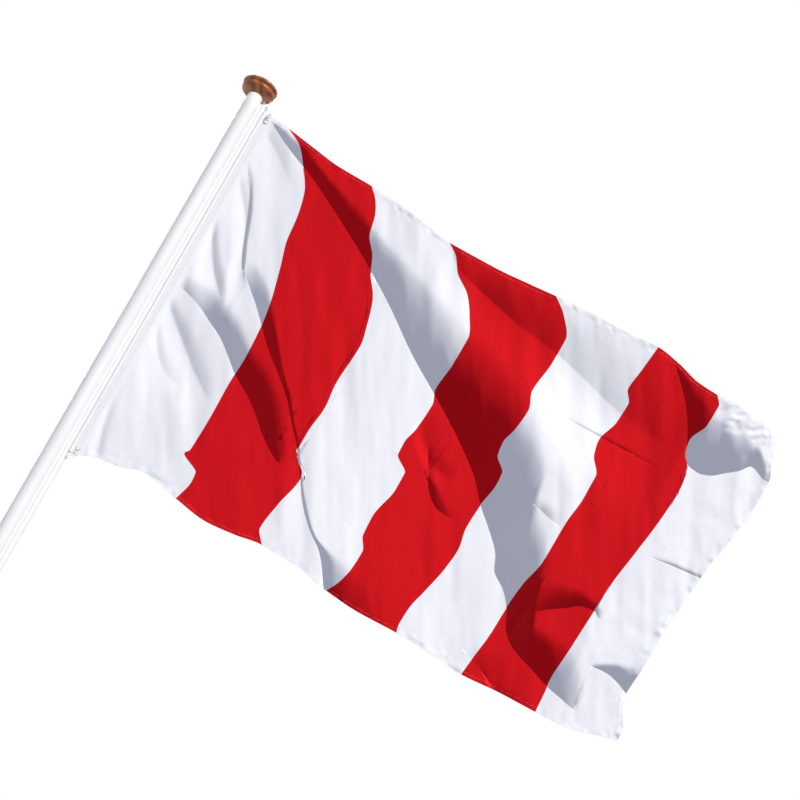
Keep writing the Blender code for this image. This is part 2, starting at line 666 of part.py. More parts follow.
# ---- The assembly -------------------------------------------------------------------------
def build_all():
    build_pole()
    build_knob()
    build_sheave()
    build_halyard()
    build_line_stop("line_stop_top", FLAG_TOP + RING_ABOVE, 1)
    build_line_stop("line_stop_bottom", FLAG_BOTTOM - RING_ABOVE, -1)
    build_heading()
    for place, z in grommet_heights():
        build_grommet(place, z)
    build_cloth()
    build_snap_hook("top", FLAG_TOP, 1)
    build_snap_hook("bottom", FLAG_BOTTOM, -1)
    build_cleat()
    for place, z in zip(("upper", "lower"), screw_heights()):
        build_screw(f"cleat_screw_{place}", z)


build_all()
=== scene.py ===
"""The looks of a striped flag that flies from a white wooden pole with a turned knob."""

from math import cos, pi, radians, sin

import bmesh
import bpy
import numpy as np
from mathutils import Matrix, Vector


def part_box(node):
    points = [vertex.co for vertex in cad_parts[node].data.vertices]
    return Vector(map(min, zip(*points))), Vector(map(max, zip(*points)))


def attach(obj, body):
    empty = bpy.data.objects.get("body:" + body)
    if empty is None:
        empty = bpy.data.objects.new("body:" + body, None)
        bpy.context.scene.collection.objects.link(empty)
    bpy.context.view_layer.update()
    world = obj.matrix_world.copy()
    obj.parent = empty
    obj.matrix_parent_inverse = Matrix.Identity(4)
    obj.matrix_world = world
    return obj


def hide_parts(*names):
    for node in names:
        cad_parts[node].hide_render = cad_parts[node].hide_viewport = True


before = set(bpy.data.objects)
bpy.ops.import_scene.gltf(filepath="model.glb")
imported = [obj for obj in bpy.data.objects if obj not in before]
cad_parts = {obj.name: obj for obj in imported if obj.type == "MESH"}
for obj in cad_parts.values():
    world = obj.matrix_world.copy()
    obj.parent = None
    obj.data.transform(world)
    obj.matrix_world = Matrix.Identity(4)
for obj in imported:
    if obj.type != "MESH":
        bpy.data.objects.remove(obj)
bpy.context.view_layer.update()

scene = bpy.context.scene
POLE_LOW, POLE_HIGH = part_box("pole")
POLE_RADIUS = (POLE_HIGH.x - POLE_LOW.x) / 2
POLE_TOP = POLE_HIGH.z
KNOB_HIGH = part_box("knob")[1]
SHEAVE_LOW, SHEAVE_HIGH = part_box("sheave")
SHEAVE_CENTRE = (SHEAVE_LOW + SHEAVE_HIGH) / 2
STOP_LOW, STOP_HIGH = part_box("line_stop_top")
LINE_X = (STOP_LOW.x + STOP_HIGH.x) / 2
BAND_LOW, BAND_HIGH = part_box("flag_heading")

# ---- Camera: from below the flag, turned so that the pole leans to the left -----------------
TILT_UP, TILT_IN = 0.883, 0.469   # cosine and sine of how far the camera looks up
LOOK = Vector((0.0, TILT_UP, TILT_IN)).normalized()
SIDE = Vector((1.0, 0.0, 0.0))
RISE = SIDE.cross(LOOK)
LEAN = radians(29.33)
DISTANCE = 30.0
SENSOR = 36.0
SEEN_WIDTH = 1.809   # metres across the picture at the flag
AIM = Vector((0.626, 0.0, 1.500))
right = cos(LEAN) * SIDE + sin(LEAN) * RISE
up = -sin(LEAN) * SIDE + cos(LEAN) * RISE
camera_data = bpy.data.cameras.new("camera")
camera_data.sensor_width = SENSOR
camera_data.lens = SENSOR * DISTANCE / SEEN_WIDTH
camera_data.clip_end = 400.0
camera = bpy.data.objects.new("camera", camera_data)
place = Matrix((right, up, -LOOK)).transposed().to_4x4()
place.translation = AIM - DISTANCE * LOOK
camera.matrix_world = place
scene.collection.objects.link(camera)
scene.camera = camera


# ---- Node materials -------------------------------------------------------------------------
class Recipe:
    """A material with short calls for its nodes."""

    def __init__(self, name, **values):
        self.material = bpy.data.materials.new(name)
        self.material.use_nodes = True
        self.tree = self.material.node_tree
        self.shader = self.tree.nodes["Principled BSDF"]
        for key, value in values.items():
            self.shader.inputs[key.replace("_", " ")].default_value = value

    def node(self, kind, out=0, **inputs):
        """A node's output; inputs go by name, or by number as i_0, i_1 and so on."""
        made = self.tree.nodes.new(kind)
        for key, value in inputs.items():
            if key in ("operation", "wave_type", "data_type", "uv_map"):
                setattr(made, key, value)
            else:
                self.feed(made.inputs[int(key[2:]) if key[:2] == "i_" else key], value)
        return made.outputs[out]

    def feed(self, socket, value):
        if isinstance(value, bpy.types.NodeSocket):
            self.tree.links.new(value, socket)
        else:
            socket.default_value = value

    def math(self, operation, first, second=0.0, third=0.0):
        return self.node("ShaderNodeMath", operation=operation, i_0=first, i_1=second, i_2=third)

    def blend(self, *shares):
        """The sum of values, each given as (value, share)."""
        parts = [self.math("MULTIPLY", value, share) for value, share in shares]
        total = parts[0]
        for part in parts[1:]:
            total = self.math("ADD", total, part)
        return total

    def object_place(self, scale=(1, 1, 1)):
        where = self.node("ShaderNodeTexCoord", out=3)
        return self.node("ShaderNodeMapping", i_0=where, i_3=scale)

    def noise(self, place, scale, detail=3.0, roughness=0.55, out=0):
        return self.node("ShaderNodeTexNoise", out=out, Vector=place, Scale=scale, Detail=detail,
                         Roughness=roughness)

    def ramp(self, factor, *stops):
        made = self.tree.nodes.new("ShaderNodeValToRGB")
        self.feed(made.inputs[0], factor)
        points = made.color_ramp.elements
        while len(points) < len(stops):
            points.new(0.5)
        for point, (at, colour) in zip(points, stops):
            point.position = at
            point.color = (*colour, 1.0)
        return made.outputs[0]

    def grey(self, factor, low, high, start=0.0, end=1.0):
        """Low to high as the factor runs from start to end."""
        return self.node("ShaderNodeMapRange", i_0=factor, i_1=start, i_2=end, i_3=low, i_4=high)

    def mix(self, factor, first, second):
        """Mixes two colours."""
        return self.node("ShaderNodeMix", out=2, data_type="RGBA", i_0=factor, i_6=first,
                         i_7=second)

    def bump(self, height, depth, strength, under=None):
        more = {} if under is None else {"Normal": under}
        return self.node("ShaderNodeBump", Strength=strength, Distance=depth, Height=height, **more)

    def surface(self, colour, rough, normal=None):
        """Feeds the shader and gives back the finished material."""
        self.feed(self.shader.inputs["Base Color"], colour)
        self.feed(self.shader.inputs["Roughness"], rough)
        if normal is not None:
            self.feed(self.shader.inputs["Normal"], normal)
        return self.material


def rgba(colour, share=1.0):
    """A colour darkened to a share of itself, with an alpha of 1."""
    return (*[c * share for c in colour], 1.0)


def woven_cloth(name, colour, shade, pitch, thread_depth, sheen, gloss):
    """Plain weave on the piece's own map in metres, with slubs, crinkles, a soft sheen and painted
    shade on half of the weave's crossings.
    """
    made = Recipe(name, Sheen_Weight=sheen, Sheen_Roughness=0.5, Specular_IOR_Level=gloss)
    flat = made.node("ShaderNodeUVMap", uv_map="cloth")
    waves = []
    for axis in (0, 1):
        place = made.node("ShaderNodeSeparateXYZ", out=axis, i_0=flat)
        waves.append(made.math("SINE", made.math("MULTIPLY", place, 2 * pi / pitch)))
    weave = made.math("MULTIPLY", *waves)
    over = made.grey(weave, 0.0, 1.0, -1.0, 1.0)
    along, beside = 9.0, 260.0   # how close the slubs' noise is along a yarn and beside it
    slubs = [made.noise(made.node("ShaderNodeMapping", i_0=flat, i_3=scale), 1.0, 2.0)
             for scale in ((along, beside, 1.0), (beside, along, 1.0))]
    slub = made.math("ADD", *slubs)
    soft = made.noise(flat, 5.0, 4.0, 0.6)
    dirt = made.noise(flat, 38.0, 3.0, 0.65)
    tone = made.blend((slub, 0.30), (soft, 0.45), (dirt, 0.25))
    base = made.mix(made.grey(tone, 0.0, 1.0, 0.38, 0.68), rgba(shade), rgba(colour))
    # Painted shade: half of the weave's crossings are darkened up to 16 percent of the way to a
    # darker tone, as light would shade the yarn there.
    threads_with_painted_shade = made.mix(made.grey(weave, 0.0, 0.16, -1.0, 1.0), base, rgba(shade, 0.80))
    crinkle = made.bump(made.noise(flat, 46.0, 4.0, 0.6), 0.0015, 0.15)
    return made.surface(threads_with_painted_shade, made.grey(slub, 0.72, 0.90, 0.7, 1.3),
                        made.bump(over, thread_depth, 0.5, crinkle))


WEAVE_PITCH, WEAVE_DEPTH = 0.0011, 0.00022
white_cloth = woven_cloth("white_bunting", (0.915, 0.915, 0.92), (0.875, 0.88, 0.895),
                          WEAVE_PITCH, WEAVE_DEPTH, 0.05, 0.2)
red_cloth = woven_cloth("red_bunting", (0.665, 0.0050, 0.0095), (0.630, 0.0042, 0.0085),
                        WEAVE_PITCH, WEAVE_DEPTH, 0.0, 0.06)
tape_cloth = woven_cloth("heading_webbing", (0.90, 0.90, 0.885), (0.80, 0.80, 0.78),
                         0.0019, 0.0004, 0.05, 0.2)


def thread_material(name, colour):
    made = Recipe(name, Sheen_Weight=0.1, Specular_IOR_Level=0.3)
    grain = made.noise(made.object_place(), 900.0, 2.0)
    return made.surface(made.mix(grain, rgba(colour, 0.82), rgba(colour)),
                        made.grey(grain, 0.6, 0.85), made.bump(grain, 0.0001, 0.5))


white_thread = thread_material("white_thread", (0.88, 0.88, 0.88))
red_thread = thread_material("red_thread", (0.55, 0.006, 0.010))


def lacquer_material():
    """Cream white lacquer that lets a little of the wood's long grain show through as relief."""
    made = Recipe("pole_lacquer_satin", Coat_Weight=0.35, Coat_Roughness=0.22)
    long_grain = made.noise(made.object_place((260.0, 260.0, 5.0)), 1.0, 4.0, 0.62)
    cloud = made.noise(made.object_place((20.0, 20.0, 3.0)), 1.0, 3.0)
    specks = made.noise(made.object_place(), 420.0, 2.0)
    tone = made.blend((long_grain, 0.5), (cloud, 0.5))
    base = made.ramp(tone, (0.30, (0.780, 0.780, 0.735)), (0.50, (0.845, 0.845, 0.810)),
                     (0.70, (0.875, 0.875, 0.845)))
    worn = made.grey(specks, 0.0, 0.25, 0.66, 0.78)
    orange_peel = made.bump(made.noise(made.object_place(), 210.0, 2.0), 0.0004, 0.25)
    return made.surface(made.mix(worn, base, rgba((0.66, 0.64, 0.57))),
                        made.grey(cloud, 0.30, 0.48, 0.3, 0.7),
                        made.bump(long_grain, 0.0006, 0.35, orange_peel))


def wood_material(name, dark, middle, light, coat, ring_scale):
    """Turned wood: growth rings across, pores along, and a varnish coat."""
    made = Recipe(name, Coat_Weight=coat, Coat_Roughness=0.3, Specular_IOR_Level=0.25)
    bent = made.noise(made.object_place((9.0, 9.0, 26.0)), 1.0, 3.0, out=1)
    rounds = made.object_place((ring_scale, 1.6 * ring_scale, 0.45 * ring_scale))
    where = made.node("ShaderNodeVectorMath", operation="ADD", i_0=rounds, i_1=bent)
    rings = made.node("ShaderNodeTexWave", out=1, wave_type="BANDS", Vector=where, Scale=1.0,
                      Distortion=5.0, Detail=3.0)
    pores = made.noise(made.object_place((1500.0, 1500.0, 170.0)), 1.0, 3.0, 0.7)
    patch = made.noise(made.object_place(), 42.0, 2.0)
    tone = made.blend((rings, 0.40), (patch, 0.60))
    base = made.ramp(tone, (0.25, dark), (0.50, middle), (0.78, light))
    return made.surface(made.mix(made.grey(pores, 0.0, 0.5, 0.58, 0.75), base, rgba(dark, 0.45)),
                        made.grey(patch, 0.26, 0.42, 0.3, 0.7), made.bump(pores, 0.00025, 0.35))


def metal_material(name, colour, low, high):
    """Plated or drawn metal with fine scratches and duller places."""
    made = Recipe(name, Metallic=1.0)
    scratches = made.noise(made.object_place((2600.0, 700.0, 320.0)), 1.0, 3.0, 0.65)
    dull = made.noise(made.object_place(), 160.0, 3.0)
    rough = made.math("ADD", made.grey(scratches, low, high, 0.3, 0.7),
                      made.grey(dull, 0.0, 0.18, 0.4, 0.8))
    tone = made.mix(made.grey(dull, 0.0, 0.5, 0.45, 0.75), rgba(colour), rgba(colour, 0.72))
    return made.surface(tone, rough, made.bump(scratches, 0.00006, 0.4))


def nylon_material():
    made = Recipe("moulded_nylon", Subsurface_Weight=0.1)
    flow = made.noise(made.object_place(), 240.0, 3.0)
    return made.surface(made.mix(flow, rgba((0.80, 0.80, 0.77)), rgba((0.88, 0.88, 0.86))),
                        made.grey(flow, 0.35, 0.55),
                        made.bump(made.noise(made.object_place(), 1500.0, 2.0), 0.00008, 0.4))


def cord_material():
    made = Recipe("braided_cord", Sheen_Weight=0.15, Specular_IOR_Level=0.3)
    fibres = made.noise(made.object_place((1500.0, 1500.0, 500.0)), 1.0, 3.0, 0.65)
    soil = made.noise(made.object_place(), 60.0, 3.0)
    tone = made.blend((fibres, 0.5), (soil, 0.5))
    base = made.ramp(tone, (0.30, (0.74, 0.74, 0.71)), (0.52, (0.88, 0.88, 0.865)),
                     (0.75, (0.92, 0.92, 0.91)))
    return made.surface(base, made.grey(fibres, 0.65, 0.88), made.bump(fibres, 0.00012, 0.5))


pole_lacquer = lacquer_material()
knob_wood = wood_material("varnished_wood", (0.115, 0.026, 0.0065), (0.300, 0.078, 0.0145),
                          (0.470, 0.150, 0.034), 0.15, 8.0)
beech = wood_material("bare_beech", (0.50, 0.35, 0.20), (0.62, 0.46, 0.28),
                      (0.70, 0.55, 0.36), 0.0, 90.0)
nickel = metal_material("nickel_plating", (0.66, 0.655, 0.63), 0.16, 0.34)
brass = metal_material("drawn_brass", (0.72, 0.52, 0.22), 0.20, 0.40)
nylon = nylon_material()
cord_fibre = cord_material()


# ---- Mesh helpers ---------------------------------------------------------------------------
def link(name, mesh, material):
    piece = bpy.data.objects.new(name, mesh)
    mesh.materials.append(material)
    scene.collection.objects.link(piece)
    return piece


def dress(piece, body, node=None):
    """Hangs a piece on its body's empty, and hides the node that it replaces."""
    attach(piece, body)
    if node:
        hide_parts(node)
    return piece


def run_length(points):
    """Length from the start of a line of points to each of them."""
    return np.concatenate([[0], np.cumsum(np.linalg.norm(np.diff(points, axis=0), axis=1))])


def closed(mesh, weld=False):
    """Fills the open ends of a wrapped mesh and turns its faces outwards."""
    bm = bmesh.new()
    bm.from_mesh(mesh)
    if weld:
        bmesh.ops.remove_doubles(bm, verts=bm.verts, dist=1e-6)
    bmesh.ops.holes_fill(bm, edges=bm.edges, sides=0)
    bmesh.ops.recalc_face_normals(bm, faces=bm.faces)
    bm.to_mesh(mesh)
    bm.free()
    return mesh


def grid_mesh(name, points, flat=None, wrap=False):
    """A quad mesh through an array of points (rows, columns, 3); flat holds its map in metres."""
    rows, columns = points.shape[:2]
    index = np.arange(rows * columns).reshape(rows, columns)
    if wrap:
        index = np.concatenate([index, index[:, :1]], axis=1)
    quads = np.stack([index[:-1, :-1], index[1:, :-1], index[1:, 1:], index[:-1, 1:]], axis=-1)
    quads = quads.reshape(-1, 4)
    mesh = bpy.data.meshes.new(name)
    mesh.vertices.add(rows * columns)
    mesh.vertices.foreach_set("co", points.reshape(-1).astype(np.float32))
    mesh.loops.add(quads.size)
    mesh.loops.foreach_set("vertex_index", quads.reshape(-1).astype(np.int32))
    mesh.polygons.add(len(quads))
    mesh.polygons.foreach_set("loop_start", np.arange(0, quads.size, 4, dtype=np.int32))
    mesh.polygons.foreach_set("use_smooth", np.ones(len(quads), dtype=bool))
    mesh.update(calc_edges=True)
    if flat is not None:
        layer = mesh.uv_layers.new(name="cloth")
        corners = flat.reshape(-1, 2)[quads.reshape(-1)]
        layer.data.foreach_set("uv", corners.reshape(-1).astype(np.float32))
    return mesh


def lathe(name, profile, steps, centre=(0.0, 0.0, 0.0)):
    """Turns (radius, height) points, listed from top to bottom, about the vertical line."""
    angle = np.linspace(0, 2 * pi, steps, endpoint=False)
    profile = np.array(profile, float)
    points = np.stack([profile[:, :1] * np.cos(angle) + centre[0],
                       profile[:, :1] * np.sin(angle) + centre[1],
                       profile[:, 1:] + 0 * angle + centre[2]], axis=-1)
    return closed(grid_mesh(name, points, wrap=True), weld=True)


def rounded(centre, radii, start, end, steps):
    """Points (radius, height) on part of an ellipse, from start to end in degrees."""
    angles = np.radians(np.linspace(start, end, steps + 1))
    return [(centre[0] + radii[0] * cos(a), centre[1] + radii[1] * sin(a)) for a in angles]


def apply_modifiers(piece):
    bpy.context.view_layer.update()
    evaluated = piece.evaluated_get(bpy.context.evaluated_depsgraph_get())
    mesh = bpy.data.meshes.new_from_object(evaluated)
    old = piece.data
    piece.modifiers.clear()
    piece.data = mesh
    bpy.data.meshes.remove(old)


def solidify(piece, thickness):
    step = piece.modifiers.new("thickness", "SOLIDIFY")
    step.thickness = thickness
    step.offset = 0.0


def cut_away(piece, mesh):
    cutter = bpy.data.objects.new("cutter", mesh)
    scene.collection.objects.link(cutter)
    step = piece.modifiers.new("cut", "BOOLEAN")
    step.operation = "DIFFERENCE"
    step.solver = "EXACT"
    step.object = cutter
    apply_modifiers(piece)
    bpy.data.objects.remove(cutter)


def primitive(kind, matrix, **sizes):
    bm = bmesh.new()
    getattr(bmesh.ops, "create_" + kind)(bm, matrix=matrix, **sizes)
    mesh = bpy.data.meshes.new(kind)
    bm.to_mesh(mesh)
    bm.free()
    return mesh


def smooth01(value):
    value = np.clip(value, 0.0, 1.0)
    return value * value * (3.0 - 2.0 * value)


def curve_through(points):
    """A smooth function through (place, value) points, constant beyond them."""
    at, value = np.array(points, float).T
    step = np.diff(at)
    slope = np.diff(value) / step
    tangent = np.concatenate([slope[:1], np.zeros(len(slope) - 1), slope[-1:]])
    for i in range(1, len(slope)):
        if slope[i - 1] * slope[i] > 0:
            tangent[i] = 2 * slope[i - 1] * slope[i] / (slope[i - 1] + slope[i])

    def read(x):
        x = np.clip(x, at[0], at[-1])
        i = np.clip(np.searchsorted(at, x) - 1, 0, len(step) - 1)
        h = step[i]
        u = (x - at[i]) / h
        return ((1 + 2 * u) * (1 - u) ** 2 * value[i] + u * (1 - u) ** 2 * h * tangent[i]
                + u * u * (3 - 2 * u) * value[i + 1] + u * u * (u - 1) * h * tangent[i + 1])
    return read


class Ripple:
    """Smooth random hills, the same in each run."""

    def __init__(self, seed):
        self.grid = np.random.RandomState(seed).uniform(-1, 1, (64, 64))

    def __call__(self, x, y):
        ix, iy = np.floor(x).astype(int), np.floor(y).astype(int)
        fx, fy = smooth01(x - ix), smooth01(y - iy)
        pick = lambda dx, dy: self.grid[(ix + dx) % 64, (iy + dy) % 64]
        low = pick(0, 0) * (1 - fx) + pick(1, 0) * fx
        high = pick(0, 1) * (1 - fx) + pick(1, 1) * fx
        return low * (1 - fy) + high * fy


# ---- Halyard --------------------------------------------------------------------------------
CORD_RADIUS = 0.0015
SHEAVE_PITCH = 0.0055   # radius of the cord's middle on the sheave
ROUTE_STEP, CORD_STEP = 0.0015, 0.0012
CLEAT_LOW, CLEAT_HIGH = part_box("cleat")
CLEAT_HEIGHT = (CLEAT_LOW.z + CLEAT_HIGH.z) / 2
INNER_X = SHEAVE_CENTRE.x - SHEAVE_PITCH
OUTER_X = SHEAVE_CENTRE.x + SHEAVE_PITCH
# The halyard's ends at the cleat, with heights from the cleat's middle.
BELAY_START = [
    (0.0262, -0.0021, -0.0622), (0.0255, -0.0045, -0.0450), (0.0250, -0.0063, -0.0220),
    (0.0248, -0.0066, 0.0000), (0.0248, -0.0064, 0.0160), (0.0249, -0.0040, 0.0360),
    (INNER_X, 0.0000, 0.0640)]
BELAY_END = [
    (OUTER_X, 0.0000, 0.0950), (0.0342, 0.0026, 0.0660), (0.0306, 0.0060, 0.0400),
    (0.0286, 0.0070, 0.0180), (0.0284, 0.0070, -0.0040), (0.0286, 0.0052, -0.0150),
    (0.0290, 0.0000, -0.0186), (0.0306, -0.0050, -0.0180), (0.0355, -0.0078, -0.0150),
    (0.0412, -0.0070, -0.0100), (0.0434, -0.0030, -0.0040), (0.0434, 0.0030, 0.0040),
    (0.0412, 0.0070, 0.0100), (0.0362, 0.0082, 0.0155), (0.0322, 0.0056, 0.0200),
    (0.0317, 0.0000, 0.0215), (0.0316, -0.0056, 0.0190), (0.0306, -0.0090, 0.0080),
    (0.0296, -0.0108, -0.0060), (0.0292, -0.0118, -0.0200), (0.0288, -0.0080, -0.0400),
    (0.0270, 0.0021, -0.0622)]


def smooth_route(points, step):
    """Points about one step apart on a Catmull-Rom curve through the given points."""
    knots = [Vector(point) for point in points]
    knots = [2 * knots[0] - knots[1]] + knots + [2 * knots[-1] - knots[-2]]
    route = []
    for before, first, second, after in zip(knots, knots[1:], knots[2:], knots[3:]):
        pieces = max(1, round((second - first).length / step))
        for piece in range(pieces):
            t = piece / pieces
            route.append(0.5 * (2 * first + (second - before) * t
                                + (2 * before - 5 * first + 4 * second - after) * t * t
                                + (3 * first - before - 3 * second + after) * t * t * t))
    route.append(knots[-2])
    return route


def halyard_route():
    lift = Vector((0, 0, CLEAT_HEIGHT))
    start = [Vector(point) + lift for point in BELAY_START]
    end = [Vector(point) + lift for point in BELAY_END]
    over = [SHEAVE_CENTRE + SHEAVE_PITCH * Vector((cos(a), 0, sin(a)))
            for a in np.linspace(pi, 0, 15)]
    route = smooth_route(start, ROUTE_STEP) + over + smooth_route(end, ROUTE_STEP)
    return resample(np.array(route, float), CORD_STEP)


def resample(points, step):
    """Points an even step apart along a line of points."""
    along = run_length(points)
    at = np.linspace(0, along[-1], max(2, int(along[-1] / step)))
    return np.stack([np.interp(at, along, points[:, i]) for i in range(3)], axis=-1)


def braided_tube(name, path, radius, material, sides=14, braid=0.10, pitch=0.0062):
    """A tube along a path whose skin shows two sets of crossing strands."""
    along = run_length(path)
    forward = np.gradient(path, axis=0)
    forward /= np.linalg.norm(forward, axis=1, keepdims=True)
    helper = np.array([0.0, 1.0, 0.0])
    sideways = [helper - forward[0] * (helper @ forward[0])]
    for direction in forward[1:]:
        turned = sideways[-1] - direction * (sideways[-1] @ direction)
        sideways.append(turned / np.linalg.norm(turned))
    sideways[0] = sideways[0] / np.linalg.norm(sideways[0])
    sideways = np.array(sideways)
    upward = np.cross(forward, sideways)
    angle = np.linspace(0, 2 * pi, sides, endpoint=False)[None, :]
    turn = 2 * pi * along[:, None] / pitch
    strands = np.maximum(np.cos(3 * angle + turn), np.cos(3 * angle - turn))
    size = radius * (1 - braid * (1 - strands) / 2)
    size[0], size[-1] = radius * 0.55, radius * 0.55
    points = path[:, None] + size[..., None] * (np.cos(angle)[..., None] * sideways[:, None]
                                                + np.sin(angle)[..., None] * upward[:, None])
    return link(name, closed(grid_mesh(name, points, wrap=True)), material), along[-1]


route = halyard_route()
halyard, halyard_length = braided_tube("halyard_braided", route, CORD_RADIUS, cord_fibre)
dress(halyard, "pole", "halyard")

KNOT_LOW, KNOT_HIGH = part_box("halyard_end_knot")
knot_centre = np.array((KNOT_LOW + KNOT_HIGH) / 2)
knot_size = (KNOT_HIGH.x - KNOT_LOW.x) / 2 - CORD_RADIUS
turn = np.linspace(0, 2 * pi, 161)
knot_path = np.stack([np.sin(turn) + 2 * np.sin(2 * turn), np.cos(turn) - 2 * np.cos(2 * turn),
                      -1.3 * np.sin(3 * turn)], axis=-1) * knot_size / 3.0 + knot_centre
knot, _ = braided_tube("end_knot_tied", knot_path, CORD_RADIUS, cord_fibre)
dress(knot, "pole", "halyard_end_knot")


def whipping(name, node):
    """A bound knot: turns of thin twine round the halyard between two rounded ends."""
    low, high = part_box(node)
    middle = (low + high) / 2
    radius = (high.x - low.x) / 2
    half = (high.z - low.z) / 2
    bore, end_radius, twine, steps = 0.0017, 0.0018, 0.0009, 72
    outer = []
    for step in range(steps + 1):
        share = step / steps * 2 - 1
        shape = (1 - abs(share) ** 4) ** 0.5
        turns = 0.5 + 0.5 * cos(2 * pi * share * half / twine)
        outer.append((end_radius + (radius - end_radius) * shape * (0.86 + 0.14 * turns),
                      -share * half))
    profile = [(bore, half)] + outer + [(bore, -half), (bore, half)]
    piece = link(name, lathe(name, profile, 36, middle), cord_fibre)
    dress(piece, "hoist_line", node)


whipping("whipped_stop_top", "line_stop_top")
whipping("whipped_stop_bottom", "line_stop_bottom")

# ---- Pole and knob --------------------------------------------------------------------------
chamfer = 0.002
heights = list(np.linspace(POLE_TOP - 0.0015, chamfer + 0.001, 60)) + [chamfer]
pole_profile = ([(0.0, POLE_TOP), (POLE_RADIUS - 0.0008, POLE_TOP)]
                + [(POLE_RADIUS, z) for z in heights]
                + [(POLE_RADIUS - chamfer, 0.0), (0.0, 0.0)])
pole = link("pole_lacquered", lathe("pole_lacquered", pole_profile, 96), pole_lacquer)
pole.data.set_sharp_from_angle(angle=radians(40))
dress(pole, "pole", "pole")


def knob_profile():
    """Dome, disc with a rounded rim, groove, bead and rounded underside, from the top down."""
    rim, cap = 0.0426, 0.0264
    bead, bead_height = 0.0400, 0.0144
    groove, groove_height = 0.0386, 0.0203
    seat = POLE_RADIUS + 0.0003
    dome = rounded((0.0, cap), (rim, KNOB_HIGH.z - POLE_TOP - cap), 90, 0, 36)
    lip_radius = (cap - groove_height) / 2
    lip = rounded((rim - lip_radius, cap), (lip_radius, lip_radius * 1.4), 0, -90, 10)[1:]
    hollow = rounded((groove + 0.0004, groove_height), (0.0009, 0.0008), 120, 240, 6)
    shoulder = rounded((bead - 0.003, bead_height), (0.003, 0.0040), 66, 0, 8)
    under = rounded((seat, bead_height), (bead - seat, bead_height - 0.0003), -3, -90, 24)
    return dome + lip + hollow + shoulder + under + [(0.0, 0.0003)]


knob = link("knob_turned", lathe("knob_turned", knob_profile(), 128, (0, 0, POLE_TOP)), knob_wood)
reach = (SHEAVE_HIGH.x - SHEAVE_LOW.x) / 2 + 0.0008
slot_half = 0.0038
slot_low = Vector((SHEAVE_CENTRE.x - reach, -slot_half, POLE_TOP - 0.01))
slot_high = Vector((0.06, slot_half, SHEAVE_CENTRE.z + reach))
cut_away(knob, primitive("cube", Matrix.Translation((slot_low + slot_high) / 2)
                         @ Matrix.Diagonal((*(slot_high - slot_low), 1.0)), size=1.0))
knob.data.set_sharp_from_angle(angle=radians(32))
dress(knob, "pole", "knob")

# ---- Flag cloth -----------------------------------------------------------------------------
# The cloth is laid out in centimetres on a plan: across is the distance from the pole's axis
# and w the height that shows from below, 0 at the pole's top. Depth is how far the cloth
# swings away behind the plan.
EDGE = (BAND_HIGH.x - 0.0016) * 100
HOIST_TOP = (BAND_HIGH.z - POLE_TOP) * 100 * TILT_UP
HOIST_BOTTOM = (BAND_LOW.z - POLE_TOP) * 100 * TILT_UP
SEAMS = [   # (w, across) down each seam, from the hoist to the fly edge
    [(HOIST_TOP, EDGE), (HOIST_BOTTOM, EDGE)],
    [(-2.7, 10.2), (-4.6, 14), (-8.4, 17.2), (-13.8, 20.6), (-20, 22), (-25, 22.5), (-31, 24.2),
     (-40, 26.4), (-46, 27.2), (-53, 27.5), (-60, 27.2), (-68, 27.3), (-77, 27), (-78.2, 26.2),
     (-80.8, 30.6), (-83, 30.8), (-88, 29.6)],
    [(-4.9, 33.2), (-7.3, 35.5), (-10.6, 37.2), (-15, 38.3), (-18.5, 41), (-22.5, 42.8),
     (-27.2, 46), (-33, 47.8), (-38, 48.8), (-48, 48.2), (-54, 48.7), (-61, 48), (-64.5, 48),
     (-66, 47.6), (-69, 51.3), (-70.5, 51.8), (-78, 50.2), (-84.5, 49.3), (-87.6, 51.5)],
    [(-7.5, 54.9), (-9.4, 57.6), (-12.7, 60), (-15.6, 64), (-19.8, 67), (-24.6, 69.2), (-31, 69.1),
     (-38, 68.4), (-41.5, 69.5), (-48, 69), (-52, 68.1), (-55, 68.2), (-58, 71.6), (-62, 71.6),
     (-70, 70), (-74.5, 70.2), (-78, 71.9), (-82, 71.7), (-86, 70.8), (-89.5, 69.1)],
    [(-6.2, 82), (-9, 85.5), (-14, 88.7), (-20, 88.6), (-27.5, 87.7), (-32, 89.1), (-37, 88.6),
     (-41, 87.6), (-44.2, 88), (-47.2, 90.8), (-50, 91), (-56.5, 90), (-62, 89.7), (-67, 90.5),
     (-72, 90), (-79, 88.4), (-84, 87.2), (-88, 87), (-90, 87.4)],
    [(-4.9, 107.9), (-11, 107.2), (-16.5, 106.5), (-19.5, 108.2), (-24.5, 107.9), (-30, 106.3),
     (-33.5, 107), (-37.5, 109.6), (-43, 109.6), (-50, 108.8), (-60, 108.5), (-67, 107),
     (-74, 106.3), (-80, 106), (-86, 105.2), (-91, 104.6)],
    [(-7.8, 124.9), (-10, 126.4), (-15, 126.2), (-19.8, 124.4), (-23, 125), (-26.5, 127.2),
     (-31, 127.7), (-39, 127.1), (-48, 125.8), (-58, 124.3), (-66, 123.8), (-75, 123.2),
     (-82, 122.7), (-86, 123), (-90.2, 123.2)],
    [(-9.4, 140.5), (-11.5, 141.6), (-15.5, 143), (-19.3, 144.6), (-24, 144.5), (-30, 144),
     (-36, 143), (-43, 141.7), (-50, 141), (-57, 140.2), (-63, 139.7), (-70, 139.6),
     (-76.8, 139.2), (-80.6, 140.3), (-84.6, 142.3), (-86.6, 142.4)],
]
TOP_EDGE = [
    (EDGE, HOIST_TOP), (10.2, -2.7), (15, -3.5), (24, -4.7), (33.2, -4.9), (43, -5.7), (50, -6.8),
    (54.9, -7.5), (66, -7.4), (76, -6.7), (82, -6.2), (90, -5.7), (100, -5.5), (107.9, -4.9),
    (114, -5.9), (120, -7.5), (124.9, -7.8), (129, -7.6), (134, -7.9), (140.5, -9.4)]
